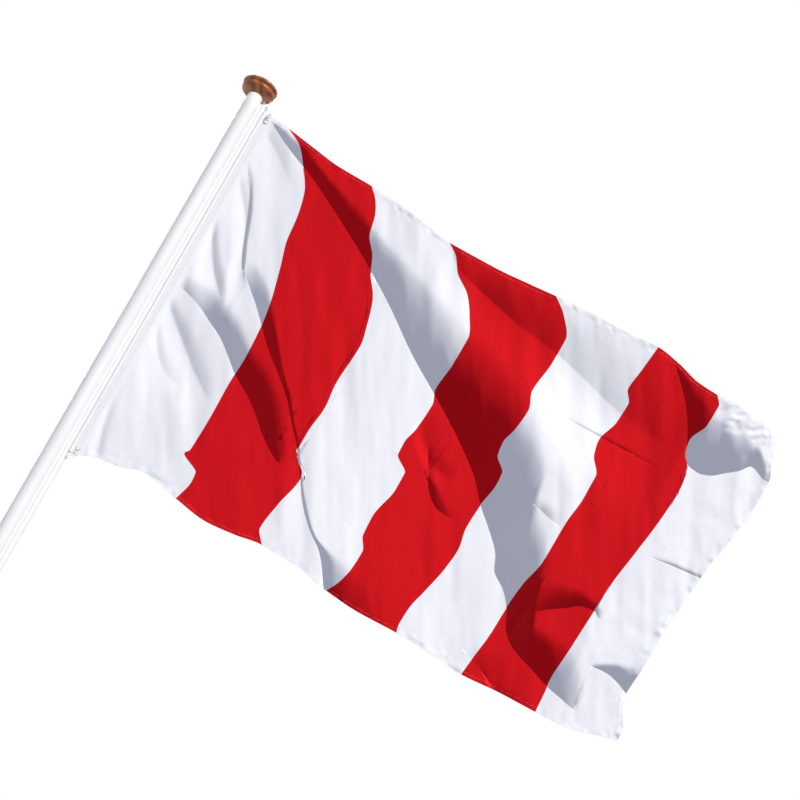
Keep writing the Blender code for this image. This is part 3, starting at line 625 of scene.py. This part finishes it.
BOTTOM_EDGE = [
    (EDGE, HOIST_BOTTOM), (9, -88.8), (15, -88), (20, -86.4), (25, -87), (29.6, -88), (38, -89.2),
    (45, -88.6), (51.5, -87.6), (60, -87.9), (69.1, -89.5), (78, -90.2), (87.4, -90), (96, -90.3),
    (104.6, -91), (114, -90.4), (123.2, -90.2), (130, -89.9), (137, -88.2), (142.4, -86.6)]
# Each fold: where the cloth starts to sink back, the crease where it springs forward again,
# and its depth, all as (across, value); softness of the start; height of the springing part.
FOLDS = [
    # the long fold from the hoist's top to the fly's bottom
    ([(6.5, -2.9), (15, -4.5), (20, -6.5), (26, -8.8), (32, -10.8), (38, -13), (45, -15.5),
      (52, -17.5), (60, -20), (69, -23), (78, -25), (84, -27.3), (88.5, -31), (92, -34),
      (95, -37.5), (99, -43), (100.5, -48), (102, -51.5), (106, -55), (108.5, -59), (110, -63),
      (112, -71), (114, -74.5), (118, -74), (123, -74), (127, -77), (131, -81)],
     [(6.5, -3.7), (11, -6.3), (15, -8.2), (20, -10.3), (26, -13.3), (32, -16.5), (38, -19.8),
      (43, -22.8), (50, -27.3), (60, -34.5), (69, -40), (78, -45.8), (86, -52), (90, -56.5),
      (95, -61), (98.3, -64.5), (100, -68), (103.5, -70.5), (106.5, -74), (108.5, -78), (112, -81),
      (118, -83), (122.7, -84.6), (127, -85.4), (131, -85.8)],
     [(6.5, 0.3), (9, 1), (12, 1.6), (16, 2.1), (20, 2.3), (32, 2.9), (45, 3.9), (60, 6.3),
      (72, 9), (85, 10.7), (95, 10.6), (104, 9), (112, 6.8), (118, 5), (123, 3.9), (127, 2.2),
      (131, 0)], 0.1, 2),
    ([(6, -43.5), (12, -43), (16, -44), (20, -45.5), (24, -48), (27.5, -51), (33, -54), (38, -58),
      (42, -62), (45, -66), (47, -69)],
     [(6, -46), (12, -48), (17, -50.5), (20, -52), (24, -55), (27, -57.5), (32, -60.5),
      (36, -63.5), (40, -67), (44, -69.5), (46.5, -70.2)],
     [(6, 0.4), (12, 1.5), (18, 2.8), (25, 3.8), (32, 4.2), (36, 4), (40, 3), (44, 1.3),
      (46.5, 0)], 0.15, 1.4),
    # the second long fold
    ([(17, -33), (20, -34), (24, -36.5), (27, -40), (31, -44.5), (36, -51), (41, -56), (44, -60),
      (47, -63.3), (51, -69), (54, -73), (60, -79.4), (62.5, -80.9), (66, -81.8), (69, -82.5),
      (75, -83.5), (78, -85.5), (82, -89)],
     [(17.5, -36), (20, -38.5), (24, -42), (27, -45), (31, -49), (36, -53), (41, -57.5), (44, -61),
      (47, -64.2), (49, -67), (51.5, -70.4), (54, -74.2), (57, -77.7), (60, -80.4), (63, -82.6),
      (66, -86), (69, -90), (82, -100)],
     [(17, 0), (20, 1.2), (24, 2), (27, 2.2), (31, 2.3), (36, 1.6), (41, 1), (47, 0.8), (54, 0.9),
      (60, 1.2), (63, 1.8), (66, 2.6), (70, 3), (80, 2.5), (84, 0)], 0.12, 1),
    # the soft hollow along the top
    ([(56, -8), (62, -9), (70, -9.5), (78, -9.5), (86, -9), (95, -8.5), (105, -10), (112, -11),
      (124, -14)],
     [(56, -9), (60, -12), (66, -13.8), (72, -15.3), (78, -16.6), (84, -17.5), (89, -18.3),
      (95, -19.8), (101, -21.5), (107, -23), (112, -23.5), (118, -24), (124, -25)],
     [(56, 0), (62, 1), (70, 1.9), (80, 2.2), (90, 2.4), (100, 2.4), (108, 2.2), (118, 1.6),
      (124, 0)], 0.5, 20),
    # the turned fly corner
    ([(113, -6), (118, -8), (122, -9.5), (126, -11.8), (130, -12.8), (134, -13), (138, -13.3),
      (143, -17)],
     [(113, -6.5), (116, -9.5), (119, -13), (121.5, -16.5), (123.5, -20), (125, -23.5),
      (127, -25.7), (129.5, -26), (132, -25.3), (135, -23), (137.5, -21), (139.5, -18.8),
      (143, -19.8)],
     [(113, 0), (118, 1.5), (122, 3.8), (126, 6.6), (130, 7), (134, 5.4), (138, 3.3),
      (143, 1)], 0.1, 1.6),
    ([(109, -62), (111, -64), (115, -62.8), (119, -61.8), (123.5, -62.3), (126, -64)],
     [(109, -73), (111, -72), (115, -69), (118, -67), (121, -64.9), (124, -64.4), (126, -65.5)],
     [(109, 0), (111, 2.5), (114, 2.8), (118, 2.4), (121, 1.4), (124, 0.8), (126, 0)], 0.15, 1),
    ([(73, -49.5), (76, -52.5), (79, -56.5), (82, -59), (86, -61)],
     [(73.5, -51), (76, -55), (78, -58.7), (80, -60.7), (82, -61.7), (86, -62)],
     [(73, 0), (76, 0.8), (79, 1.3), (82, 0.9), (86, 0)], 0.2, 1),
    ([(68, -43), (73, -47), (77, -51.5), (82, -53.5)],
     [(68, -46.5), (73, -51), (77, -53.8), (82, -54.8)],
     [(68, 0), (71, 0.6), (77, 0.7), (82, 0)], 0.3, 3),
    ([(129, -74.8), (132.5, -72.8), (135, -71.8), (140, -71)],
     [(129, -75.3), (133, -75.2), (136, -75.8), (140, -77.5)],
     [(129, 0), (133, 2), (136, 3.2), (140, 4)], 0.2, 0.9),
    ([(129, -46.9), (134, -46), (141, -45.2)],
     [(129, -47.6), (134, -46.8), (141, -46.2)],
     [(129, 0), (134, 0.35), (141, 0.5)], 0.3, 0.6),
    ([(96, -28.8), (122, -28.4)],
     [(96, -29.4), (122, -29)],
     [(96, 0), (104, 0.25), (112, 0.3), (122, 0)], 0.3, 0.6),
    ([(100, -48), (104, -48.5), (108, -49)],
     [(100, -49.8), (104, -50.8), (108, -51.5)],
     [(100, 0), (103, 0.6), (108, 0)], 0.3, 1),
    ([(102, -83), (110, -84.5), (114, -87), (118, -88.5), (124, -89)],
     [(102, -86), (110, -89), (114, -91), (124, -92)],
     [(102, 0), (110, 0.9), (118, 0.6), (124, 0)], 0.2, 1),
    ([(6, -13.6), (9, -17.2), (12, -22.7), (15, -30.5), (19, -38.8)],
     [(6, -14.5), (9, -18.5), (12, -24), (15, -31.5), (19, -39.5)],
     [(6, 0.15), (9, 0.4), (12, 0.5), (15, 0.6), (19.5, 0)], 0.3, 9),
    ([(6, -4.5), (10, -7), (15, -11), (20, -14)],
     [(6, -6.5), (10, -9.5), (15, -13.5), (20, -17)],
     [(6, 0.3), (12, 0.4), (20, 0)], 0.4, 8),
    ([(6, -16.8), (10, -21), (14, -26)],
     [(6, -18.2), (10, -23.2), (14, -28.5)],
     [(6, 0.3), (10, 0.4), (14, 0)], 0.4, 8),
    ([(6, -27.5), (8, -31.5), (12, -37), (16, -41.5)],
     [(6, -30), (8, -34), (12, -40), (16, -44)],
     [(6, 0.4), (9, 0.7), (13, 0.8), (17, 0)], 0.4, 10),
    ([(6, -49), (10, -52), (16, -56), (22, -60), (27, -63)],
     [(6, -50.8), (10, -54.2), (16, -59), (22, -63.5), (27, -66.5)],
     [(6, 0.5), (12, 0.8), (20, 0.7), (27, 0)], 0.4, 10),
    ([(6, -54), (9, -58), (13, -62), (19, -64)],
     [(6, -56), (9, -60.5), (13, -64.5), (19, -66.5)],
     [(6, 0.3), (10, 0.5), (19, 0)], 0.4, 10),
    ([(6, -72), (8, -79), (10.5, -86)],
     [(6, -77), (8, -84), (10.5, -90)],
     [(6, 0.5), (8, 0.5), (11, 0)], 0.4, 9),
]
seam_curves = [curve_through(sorted(seam)) for seam in SEAMS]
top_curve, bottom_curve = curve_through(TOP_EDGE), curve_through(BOTTOM_EDGE)
fold_curves = [(curve_through(u), curve_through(l), curve_through(d), soft, ledge)
               for u, l, d, soft, ledge in FOLDS]
hills, small_hills, edge_hills = Ripple(3), Ripple(8), Ripple(21)
MIDDLE_DEPTH = 5.15   # moves the folded cloth forward, to lie evenly about the halyard's plane
CRISP = 2.0           # a fold whose springing part is no higher turns under the cloth above it
TURN_UNDER = 1.30     # how far it turns under, in heights of its springing part
CREASE = 0.35         # half height of the band of closer rows at a crease
LEVEL, STEEP = 0.872, 0.49   # about the cosine and sine of LEAN: the hills lie level in the view


def springing(ledge, most):
    """Height of a fold's springing part; a crisp one is no higher than the fold is deep."""
    return np.minimum(ledge, np.maximum(0.8 * most, 0.15)) if ledge <= CRISP else ledge


def creases(across, w):
    """How many more rows of the mesh are wanted here, because a crisp crease is near."""
    wanted = np.ones_like(w)
    for _, lower, deep, _, ledge in fold_curves:
        if ledge <= CRISP:
            low, most = lower(across), deep(across)
            ledge = springing(ledge, most)
            share = np.clip(most / 0.5, 0, 1) * 9
            wanted = wanted + share * (np.exp(-((w - low) / CREASE) ** 2)
                                       + np.exp(-((w - low + ledge) / CREASE) ** 2))
    return wanted


def folded(across, w):
    """Depth of the cloth, and how far the springing parts slide up in the view."""
    depth = -1.2 * np.sin(pi * np.clip((across - 6) / 60, 0, 2))
    slide = np.zeros_like(depth)
    for upper, lower, deep, soft, ledge in fold_curves:
        high, low, most = upper(across), lower(across), deep(across)
        crisp = ledge <= CRISP
        ledge = springing(ledge, most)
        share = (high - w) / np.maximum(high - low, 0.3)
        sinking = np.minimum(0.5 * (share + np.sqrt(share * share + soft * soft)), 1.0)
        if crisp:
            sinking = sinking ** 1.35
        sharp = np.clip((most / ledge - 0.35) / 0.9, 0, 1)
        fallen = np.clip((low - w) / ledge, 0, 1)
        fallen = sharp * fallen + (1 - sharp) * smooth01(fallen)
        depth = depth + most * np.where(w >= low, sinking, 1 - fallen)
        below = 1 - smooth01((low - ledge - w) / 8)
        slide = slide + TURN_UNDER * ledge * sharp * fallen * below
    return depth, slide * smooth01((w - bottom_curve(across)) / 3)


def plan(panel, down):
    """Place on the plan: panel runs 0 to 7 from hoist to fly, down 0 to 1 from top to bottom."""
    panel, down = np.broadcast_arrays(np.asarray(panel, float), np.asarray(down, float))
    first = np.clip(np.floor(panel).astype(int), 0, 6)
    share = panel - first

    def across_at(w):
        edges = np.stack([curve(w) for curve in seam_curves])
        left = np.take_along_axis(edges, first[None], 0)[0]
        right_edge = np.take_along_axis(edges, first[None] + 1, 0)[0]
        return left + (right_edge - left) * share
    starts = np.array([max(w for w, _ in seam) for seam in SEAMS])
    ends = np.array([min(w for w, _ in seam) for seam in SEAMS])
    high = top_curve(across_at(starts[first] * (1 - share) + starts[first + 1] * share))
    low = bottom_curve(across_at(ends[first] * (1 - share) + ends[first + 1] * share))
    w = high + (low - high) * down
    shown = w
    for _ in range(3):
        across = across_at(shown)
        depth, slide = folded(across, w)
        shown = w + slide
    return across, w, shown, depth


def cloth(panel, down):
    """The cloth's points in the frame, for places as in plan."""
    across, w, shown, depth = plan(panel, down)
    fly = smooth01((across - 118) / 26)
    level, plumb = LEVEL * across + STEEP * w, LEVEL * w - STEEP * across
    depth = (depth + 0.17 * hills(level / 3.4, plumb / 15.0)
             + 0.05 * small_hills(level / 1.6, plumb / 6.0))
    crumpled = np.exp(-((across - 134) / 6) ** 2 - ((w + 10.5) / 2.4) ** 2)
    depth = depth + crumpled * 0.42 * hills((across - w) / 1.5, (across + w) / 2.6)
    depth = depth + fly * (0.10 * hills(across / 3.3 + 9, w / 3.0)
                           + 0.025 * small_hills(across / 1.3, w / 1.5))
    tall, wide = 90, 17   # one hoist and one panel on the plan, nearly
    border = np.exp(-((1 - down) * tall / 1.6) ** 2) + np.exp(-(down * tall / 1.6) ** 2)
    border = border + np.exp(-((7 - panel) * wide / 2.0) ** 2)
    depth = depth + 0.11 * border * edge_hills(across / 1.3, w / 1.2)
    depth = depth - MIDDLE_DEPTH * smooth01((across - EDGE) / 62)
    depth = depth * smooth01((across - EDGE) / 2.4 + 0.02)
    height = POLE_TOP + (shown + TILT_IN * depth) / 100 / TILT_UP
    return np.stack([across / 100, depth / 100, height], axis=-1)


def facing(panel, down):
    """Unit normals of the cloth, towards the viewer's side."""
    near = 0.004
    a, b = np.clip(panel - near, 0, 7), np.clip(panel + near, 0, 7)
    c, d = np.clip(down - near / 5, 0, 1), np.clip(down + near / 5, 0, 1)
    normal = np.cross(cloth(b, down) - cloth(a, down), cloth(panel, c) - cloth(panel, d))
    normal /= np.maximum(np.linalg.norm(normal, axis=-1, keepdims=True), 1e-12)
    return normal


def map_in_metres(panel, downs, points):
    """Lengths along the cloth: across from the panel number, down from the points themselves."""
    steps = np.linalg.norm(np.diff(points, axis=0), axis=-1)
    drop = np.concatenate([np.zeros((1, points.shape[1])), np.cumsum(steps, axis=0)])
    downs = np.broadcast_to(downs, drop.shape)
    drop = drop - np.array([np.interp(0.5, downs[:, i], drop[:, i]) for i in range(drop.shape[1])])
    return np.stack([np.broadcast_to(panel * 1.5 / 7, drop.shape), drop], axis=-1)


ROWS, COLUMNS = 400, 84
SAMPLES = 1001
STRIPES = []   # number, node, material and slot of each
for number in range(7):
    tint, material = (("white", white_cloth), ("red", red_cloth))[number % 2]
    STRIPES.append((number, f"stripe_{number + 1}_{tint}", material, f"{tint}_cloth"))


def rows_down(lines):
    """Places of the rows down each line of the cloth, closer together at the crisp creases."""
    even = np.broadcast_to(np.linspace(0, 1, SAMPLES)[:, None], (SAMPLES, lines.size))
    across, w, _, _ = plan(lines, even)
    wanted = creases(across, w)
    filled = np.concatenate([np.zeros((1, lines.size)),
                             np.cumsum((wanted[1:] + wanted[:-1]) / 2, axis=0)])
    rows = np.linspace(0, 1, ROWS + 1)
    return np.stack([np.interp(rows, filled[:, i] / filled[-1, i], even[:, i])
                     for i in range(lines.size)], axis=1)


def cloth_piece(name, lines, downs, material, sharp, thickness=0.0):
    """A piece of the cloth; light that bounces off it is left out, as in the picture."""
    points = cloth(lines, downs)
    piece = link(name, grid_mesh(name, points, map_in_metres(lines, downs, points)), material)
    if thickness:
        solidify(piece, thickness)
        apply_modifiers(piece)
    piece.data.set_sharp_from_angle(angle=radians(sharp))
    piece.visible_diffuse = False
    return piece


panels = []
for number, node, material, slot in STRIPES:
    lines = np.linspace(number, number + 1, COLUMNS + 1)[None, :]
    piece = cloth_piece(node.replace("stripe", "panel"), lines, rows_down(lines), material, 50)
    panels.append(dress(piece, "flag", node))


def strip(name, lines, downs, thickness, material):
    """A doubled margin of the cloth: a hem or a felled seam, thicker than one layer."""
    return dress(cloth_piece(name, lines, downs, material, 40, thickness), "flag")


SEAM_SHARE, HEM_SHARE = 0.042, 0.070   # widths of the seams and the fly hem, in panels
HEM_DOWN = 0.011                       # height of the other hems, in hoists
SEAM_THICKNESS, HEM_THICKNESS, FLY_THICKNESS = 0.0004, 0.0003, 0.0008
seams = []
for line in range(1, 7):
    lines = (line + np.linspace(0, SEAM_SHARE, 6) * (1 if line % 2 else -1))[None, :]
    seams.append(strip(f"felled_seam_{line}", lines, rows_down(lines), SEAM_THICKNESS,
                       red_cloth))
hems = []
for number, node, material, slot in STRIPES:
    lines = np.linspace(number, number + 1, COLUMNS + 1)[None, :]
    for side, start, end in (("top", 0, HEM_DOWN), ("bottom", 1 - HEM_DOWN, 1)):
        hems.append(strip(f"hem_{side}_{number + 1}", lines, np.linspace(start, end, 6)[:, None],
                          HEM_THICKNESS, material))
fly_lines = np.linspace(7 - HEM_SHARE, 7, 12)[None, :]
fly_hem = strip("fly_hem_doubled", fly_lines, rows_down(fly_lines), FLY_THICKNESS,
                white_cloth)
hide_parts("fly_hem")
STITCH_HALF, STITCH_RISE = 0.00032, 0.00016   # half a thread's width, and its crown
STITCH = ((0, 2, 1), (0, 3, 2), (4, 1, 2), (4, 2, 3))   # faces on a stitch's five corners


def thread_piece(name, vertices, faces, material):
    """A piece of the flag made of thread."""
    mesh = bpy.data.meshes.new(name)
    mesh.from_pydata(vertices, [], faces)
    mesh.shade_smooth()
    return dress(link(name, mesh, material), "flag")


def stitches(name, lines, downs, pitch, height, material):
    """A row of thread stitches on both faces of the cloth along a line of (panel, down)."""
    fine = cloth(lines, downs)
    along = run_length(fine)
    count = int(along[-1] / pitch)
    ends = np.stack([(np.arange(count) + 0.12) * pitch, (np.arange(count) + 0.84) * pitch])
    vertices, faces = [], []
    for side in (1, -1):
        reads = [np.interp(ends, along, line) for line in (lines, downs)]
        normal = facing(*[read.mean(0) for read in reads]) * side
        start, end = cloth(reads[0][0], reads[1][0]), cloth(reads[0][1], reads[1][1])
        forward = end - start
        across = np.cross(normal, forward)
        across /= np.maximum(np.linalg.norm(across, axis=-1, keepdims=True), 1e-12)
        middle = (start + end) / 2
        low, waist = normal * height * 0.2, normal * height * 0.6
        ring = [start + low, middle + across * STITCH_HALF + waist,
                middle + normal * (height + STITCH_RISE), middle - across * STITCH_HALF + waist,
                end + low]
        corner = 5 * (len(vertices) * count + np.arange(count)[:, None])
        vertices.append(np.stack(ring, axis=1).reshape(-1, 3))
        faces += [corner + np.array(face) for face in STITCH]
    return thread_piece(name, np.concatenate(vertices).tolist(), np.concatenate(faces).tolist(),
                        material)


sewn = []
long_way = np.linspace(0.002, 0.998, 500)
for line in range(1, 7):
    side = 1 if line % 2 else -1
    for row, share in enumerate((0.008, 0.035)):
        sewn.append(stitches(f"seam_stitches_{line}_{row + 1}", line + side * share + 0 * long_way,
                             long_way, 0.0034, 0.00025, red_thread))
for row, share in enumerate((0.012, 0.062)):
    sewn.append(stitches(f"fly_stitches_{row + 1}", 7 - share + 0 * long_way, long_way,
                         0.0036, 0.00040, white_thread))
cross_way = np.linspace(0.01, 6.99, 900)
for side, down in (("top", 0.0085), ("bottom", 0.9915)):
    sewn.append(stitches(f"hem_stitches_{side}", cross_way, down + 0 * cross_way, 0.0036, 0.00014,
                         white_thread))


def fray(name, lines, downs, outward, count, longest, seed):
    """Loose yarns from one (panel, down) place to another, each a thin curved thread."""
    rng = np.random.RandomState(seed)
    pick = rng.uniform(0, 1, count)
    place = cloth(np.interp(pick, (0, 1), lines), np.interp(pick, (0, 1), downs))
    vertices, faces = [], []
    for start in place:
        length = longest * rng.uniform(0.15, 1.0) ** 1.6
        aim = Vector(outward) + Vector(rng.uniform(-0.8, 0.8, 3))
        curl = Vector(rng.uniform(-0.7, 0.7, 3))
        radius = rng.uniform(0.00014, 0.00026)
        ring_start = len(vertices)
        for step in range(6):
            t = step / 5
            middle = Vector(start) + (aim * t + curl * t * t) * length * 0.6
            for corner in range(3):
                angle = 2 * pi * corner / 3 + t
                round_it = Vector((cos(angle), sin(angle), 0.3))
                vertices.append(middle + radius * (1 - 0.5 * t) * round_it)
        for step in range(5):
            for corner in range(3):
                a = ring_start + 3 * step + corner
                b = ring_start + 3 * step + (corner + 1) % 3
                faces.append((a, b, b + 3, a + 3))
    return thread_piece(name, vertices, faces, white_thread)


frays = [fray("fly_fray", (7.0, 7.0), (0.0, 1.0), (1, 0, -0.2), 260, 0.008, 5),
         fray("hoist_corner_fray", (0.1, 1.0), (1.0, 1.0), (0, 0, -1), 90, 0.006, 6),
         fray("fly_corner_fray", (6.0, 7.0), (1.0, 1.0), (0.3, 0, -1), 70, 0.006, 7)]


# ---- Heading band ---------------------------------------------------------------------------
def build_heading():
    """Webbing folded round the halyard into a sleeve, its two ends sewn over the cloth's edge."""
    fold_radius, half, thickness, hole_radius = 0.0031, 0.00066, 0.00095, 0.0046
    tail = np.linspace(BAND_HIGH.x, LINE_X + fold_radius * 1.12, 12)
    angles = np.radians(np.linspace(24, 336, 30))
    path = ([(x, half) for x in tail]
            + [(LINE_X + fold_radius * cos(a), fold_radius * sin(a)) for a in angles]
            + [(x, -half) for x in tail[::-1]])
    path = np.array(path)
    heights = np.linspace(BAND_HIGH.z, BAND_LOW.z, 301)
    wobble = 0.00045 * np.sin(heights * 61.0) + 0.0003 * np.sin(heights * 143.0 + 1.0)
    loose = np.clip((path[:, 0] - LINE_X - 0.008) / 0.012, 0, 1)
    ripple = 0.00030 * np.sin(heights * 420.0)[:, None] * loose[None, :] ** 2
    heights = np.broadcast_to(heights[:, None], ripple.shape)
    points = np.stack([path[:, 0] + loose * (wobble[:, None] - 0.0006), path[:, 1] + ripple,
                       heights], axis=-1)
    flat = np.stack([np.broadcast_to(run_length(path), ripple.shape), heights], axis=-1)
    piece = link("heading_webbing", grid_mesh("heading_webbing", points, flat), tape_cloth)
    solidify(piece, thickness)
    apply_modifiers(piece)
    for node in ("grommet_top", "grommet_bottom"):
        low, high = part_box(node)
        hole = Matrix.Translation((low + high) / 2) @ Matrix.Rotation(pi / 2, 4, "X")
        cut_away(piece, primitive("cone", hole, cap_ends=True, segments=40, radius1=hole_radius,
                                  radius2=hole_radius, depth=0.02))
    piece.data.set_sharp_from_angle(angle=radians(40))
    return dress(piece, "flag", "flag_heading")


heading = build_heading()


def straight_stitches(name, x, y):
    """A row of stitches down both faces of the heading, a distance y from its middle."""
    z_start, z_end, pitch = BAND_HIGH.z - 0.002, BAND_LOW.z + 0.002, 0.0038
    count = int(abs(z_start - z_end) / pitch)
    vertices, faces = [], []
    for side in (1, -1):
        for step in range(count):
            a, b = z_start - (step + 0.1) * pitch, z_start - (step + 0.82) * pitch
            first = len(vertices)
            m = (a + b) / 2
            vertices += [(x, side * y, a), (x + 0.0004, side * (y + 0.0001), m),
                         (x, side * (y + 0.00045), m), (x - 0.0004, side * (y + 0.0001), m),
                         (x, side * y, b)]
            faces += [tuple(first + i for i in face) for face in STITCH]
    return thread_piece(name, vertices, faces, white_thread)


heading_sewn = [straight_stitches("heading_stitches_sleeve", LINE_X + 0.0052, 0.00105),
                straight_stitches("heading_stitches_edge", BAND_HIGH.x - 0.0036, 0.00115)]

# ---- The pieces that go with each panel, gathered in a list per panel -----------------------
for number, piece in enumerate(panels):
    own = [hem for hem in hems if hem.name.endswith(f"_{number + 1}")]
    if number == 0:
        own += [heading, *heading_sewn, frays[1], sewn[-1], sewn[-2]]
    if number == 6:
        own += [fly_hem, frays[0], frays[2], *[s for s in sewn if s.name.startswith("fly_")]]
    if number % 2:
        own += [s for s in seams if s.name[-1] in (str(number), str(number + 1))]
        own += [s for s in sewn if s.name.startswith((f"seam_stitches_{number}_",
                                                      f"seam_stitches_{number + 1}_"))]

# ---- Finishes of the pieces that keep their shape --------------------------------------------
FINISHES = {"knob_dowel": beech, "sheave": nylon, "sheave_pin": brass}
NICKEL_NODES = ("cleat cleat_screw_upper cleat_screw_lower grommet_top grommet_bottom snap_hook_top"
                " snap_hook_bottom gate_top gate_bottom gate_pin_top gate_pin_bottom").split()
for node, material in (FINISHES | dict.fromkeys(NICKEL_NODES, nickel)).items():
    for place_in_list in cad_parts[node].material_slots:
        place_in_list.material = material

# ---- Floor, sky and lights ------------------------------------------------------------------
FLOOR_HEIGHT, FLOOR_SIZE = -13.4, 150.0
floor_mesh = primitive("grid", Matrix.Translation((0, 0, FLOOR_HEIGHT)), x_segments=1,
                       y_segments=1, size=FLOOR_SIZE)
floor_recipe = Recipe("studio_floor", Specular_IOR_Level=0.2)
speckle = floor_recipe.noise(floor_recipe.object_place(), 3.0, 3.0)
floor_tone = floor_recipe.mix(speckle, rgba((0.86, 0.86, 0.86)), rgba((0.90, 0.90, 0.90)))
floor = link("studio_floor", floor_mesh,
             floor_recipe.surface(floor_tone, floor_recipe.grey(speckle, 0.8, 0.9)))
floor.visible_diffuse = False

world = bpy.data.worlds.new("studio")
world.use_nodes = True
scene.world = world
sky = world.node_tree
backdrop = sky.nodes["Background"]   # what the camera and reflections see
backdrop.inputs[0].default_value = (1.0, 1.0, 1.0, 1.0)
backdrop.inputs[1].default_value = 1.0
fill = sky.nodes.new("ShaderNodeBackground")   # the bluish light that falls on the pieces
fill.inputs[0].default_value = (0.89, 0.94, 1.17, 1.0)
fill.inputs[1].default_value = 0.40
chooser = sky.nodes.new("ShaderNodeMixShader")
ray = sky.nodes.new("ShaderNodeLightPath")
shown = sky.nodes.new("ShaderNodeMath")
shown.operation = "MAXIMUM"
sky.links.new(ray.outputs["Is Camera Ray"], shown.inputs[0])
sky.links.new(ray.outputs["Is Glossy Ray"], shown.inputs[1])
sky.links.new(shown.outputs[0], chooser.inputs[0])
sky.links.new(fill.outputs[0], chooser.inputs[1])
sky.links.new(backdrop.outputs[0], chooser.inputs[2])
sky.links.new(chooser.outputs[0], sky.nodes["World Output"].inputs[0])


def sun(name, towards, strength, spread, colour):
    light = bpy.data.lights.new(name, "SUN")
    light.energy = strength
    light.angle = radians(spread)
    light.color = colour
    holder = bpy.data.objects.new(name, light)
    holder.rotation_mode = "QUATERNION"
    holder.rotation_quaternion = Vector(towards).to_track_quat("Z", "Y")
    scene.collection.objects.link(holder)
    return holder


def light_group(name, pieces, state):
    """Pieces that a light reaches or passes."""
    group = bpy.data.collections.new(name)
    for piece in pieces:
        group.objects.link(piece)
    for entry in group.collection_objects:
        entry.light_linking.link_state = state
    return group


key_light = sun("key_light", (0.30, -0.46, 0.84), 4.20, 7.0, (1.0, 0.985, 0.955))
key_light.light_linking.blocker_collection = light_group("no_key_shadow", [knob], "EXCLUDE")
sun("back_light", LOOK, 1.5, 20.0, (1.0, 1.0, 1.0))
side_light = sun("side_light", (-0.90, -0.35, 0.10), 0.55, 20.0, (1.0, 1.0, 0.98))
side_lit = light_group("side_lit", [pole, knob, halyard], "INCLUDE")
side_light.light_linking.receiver_collection = side_lit
scene.view_settings.view_transform = "Standard"
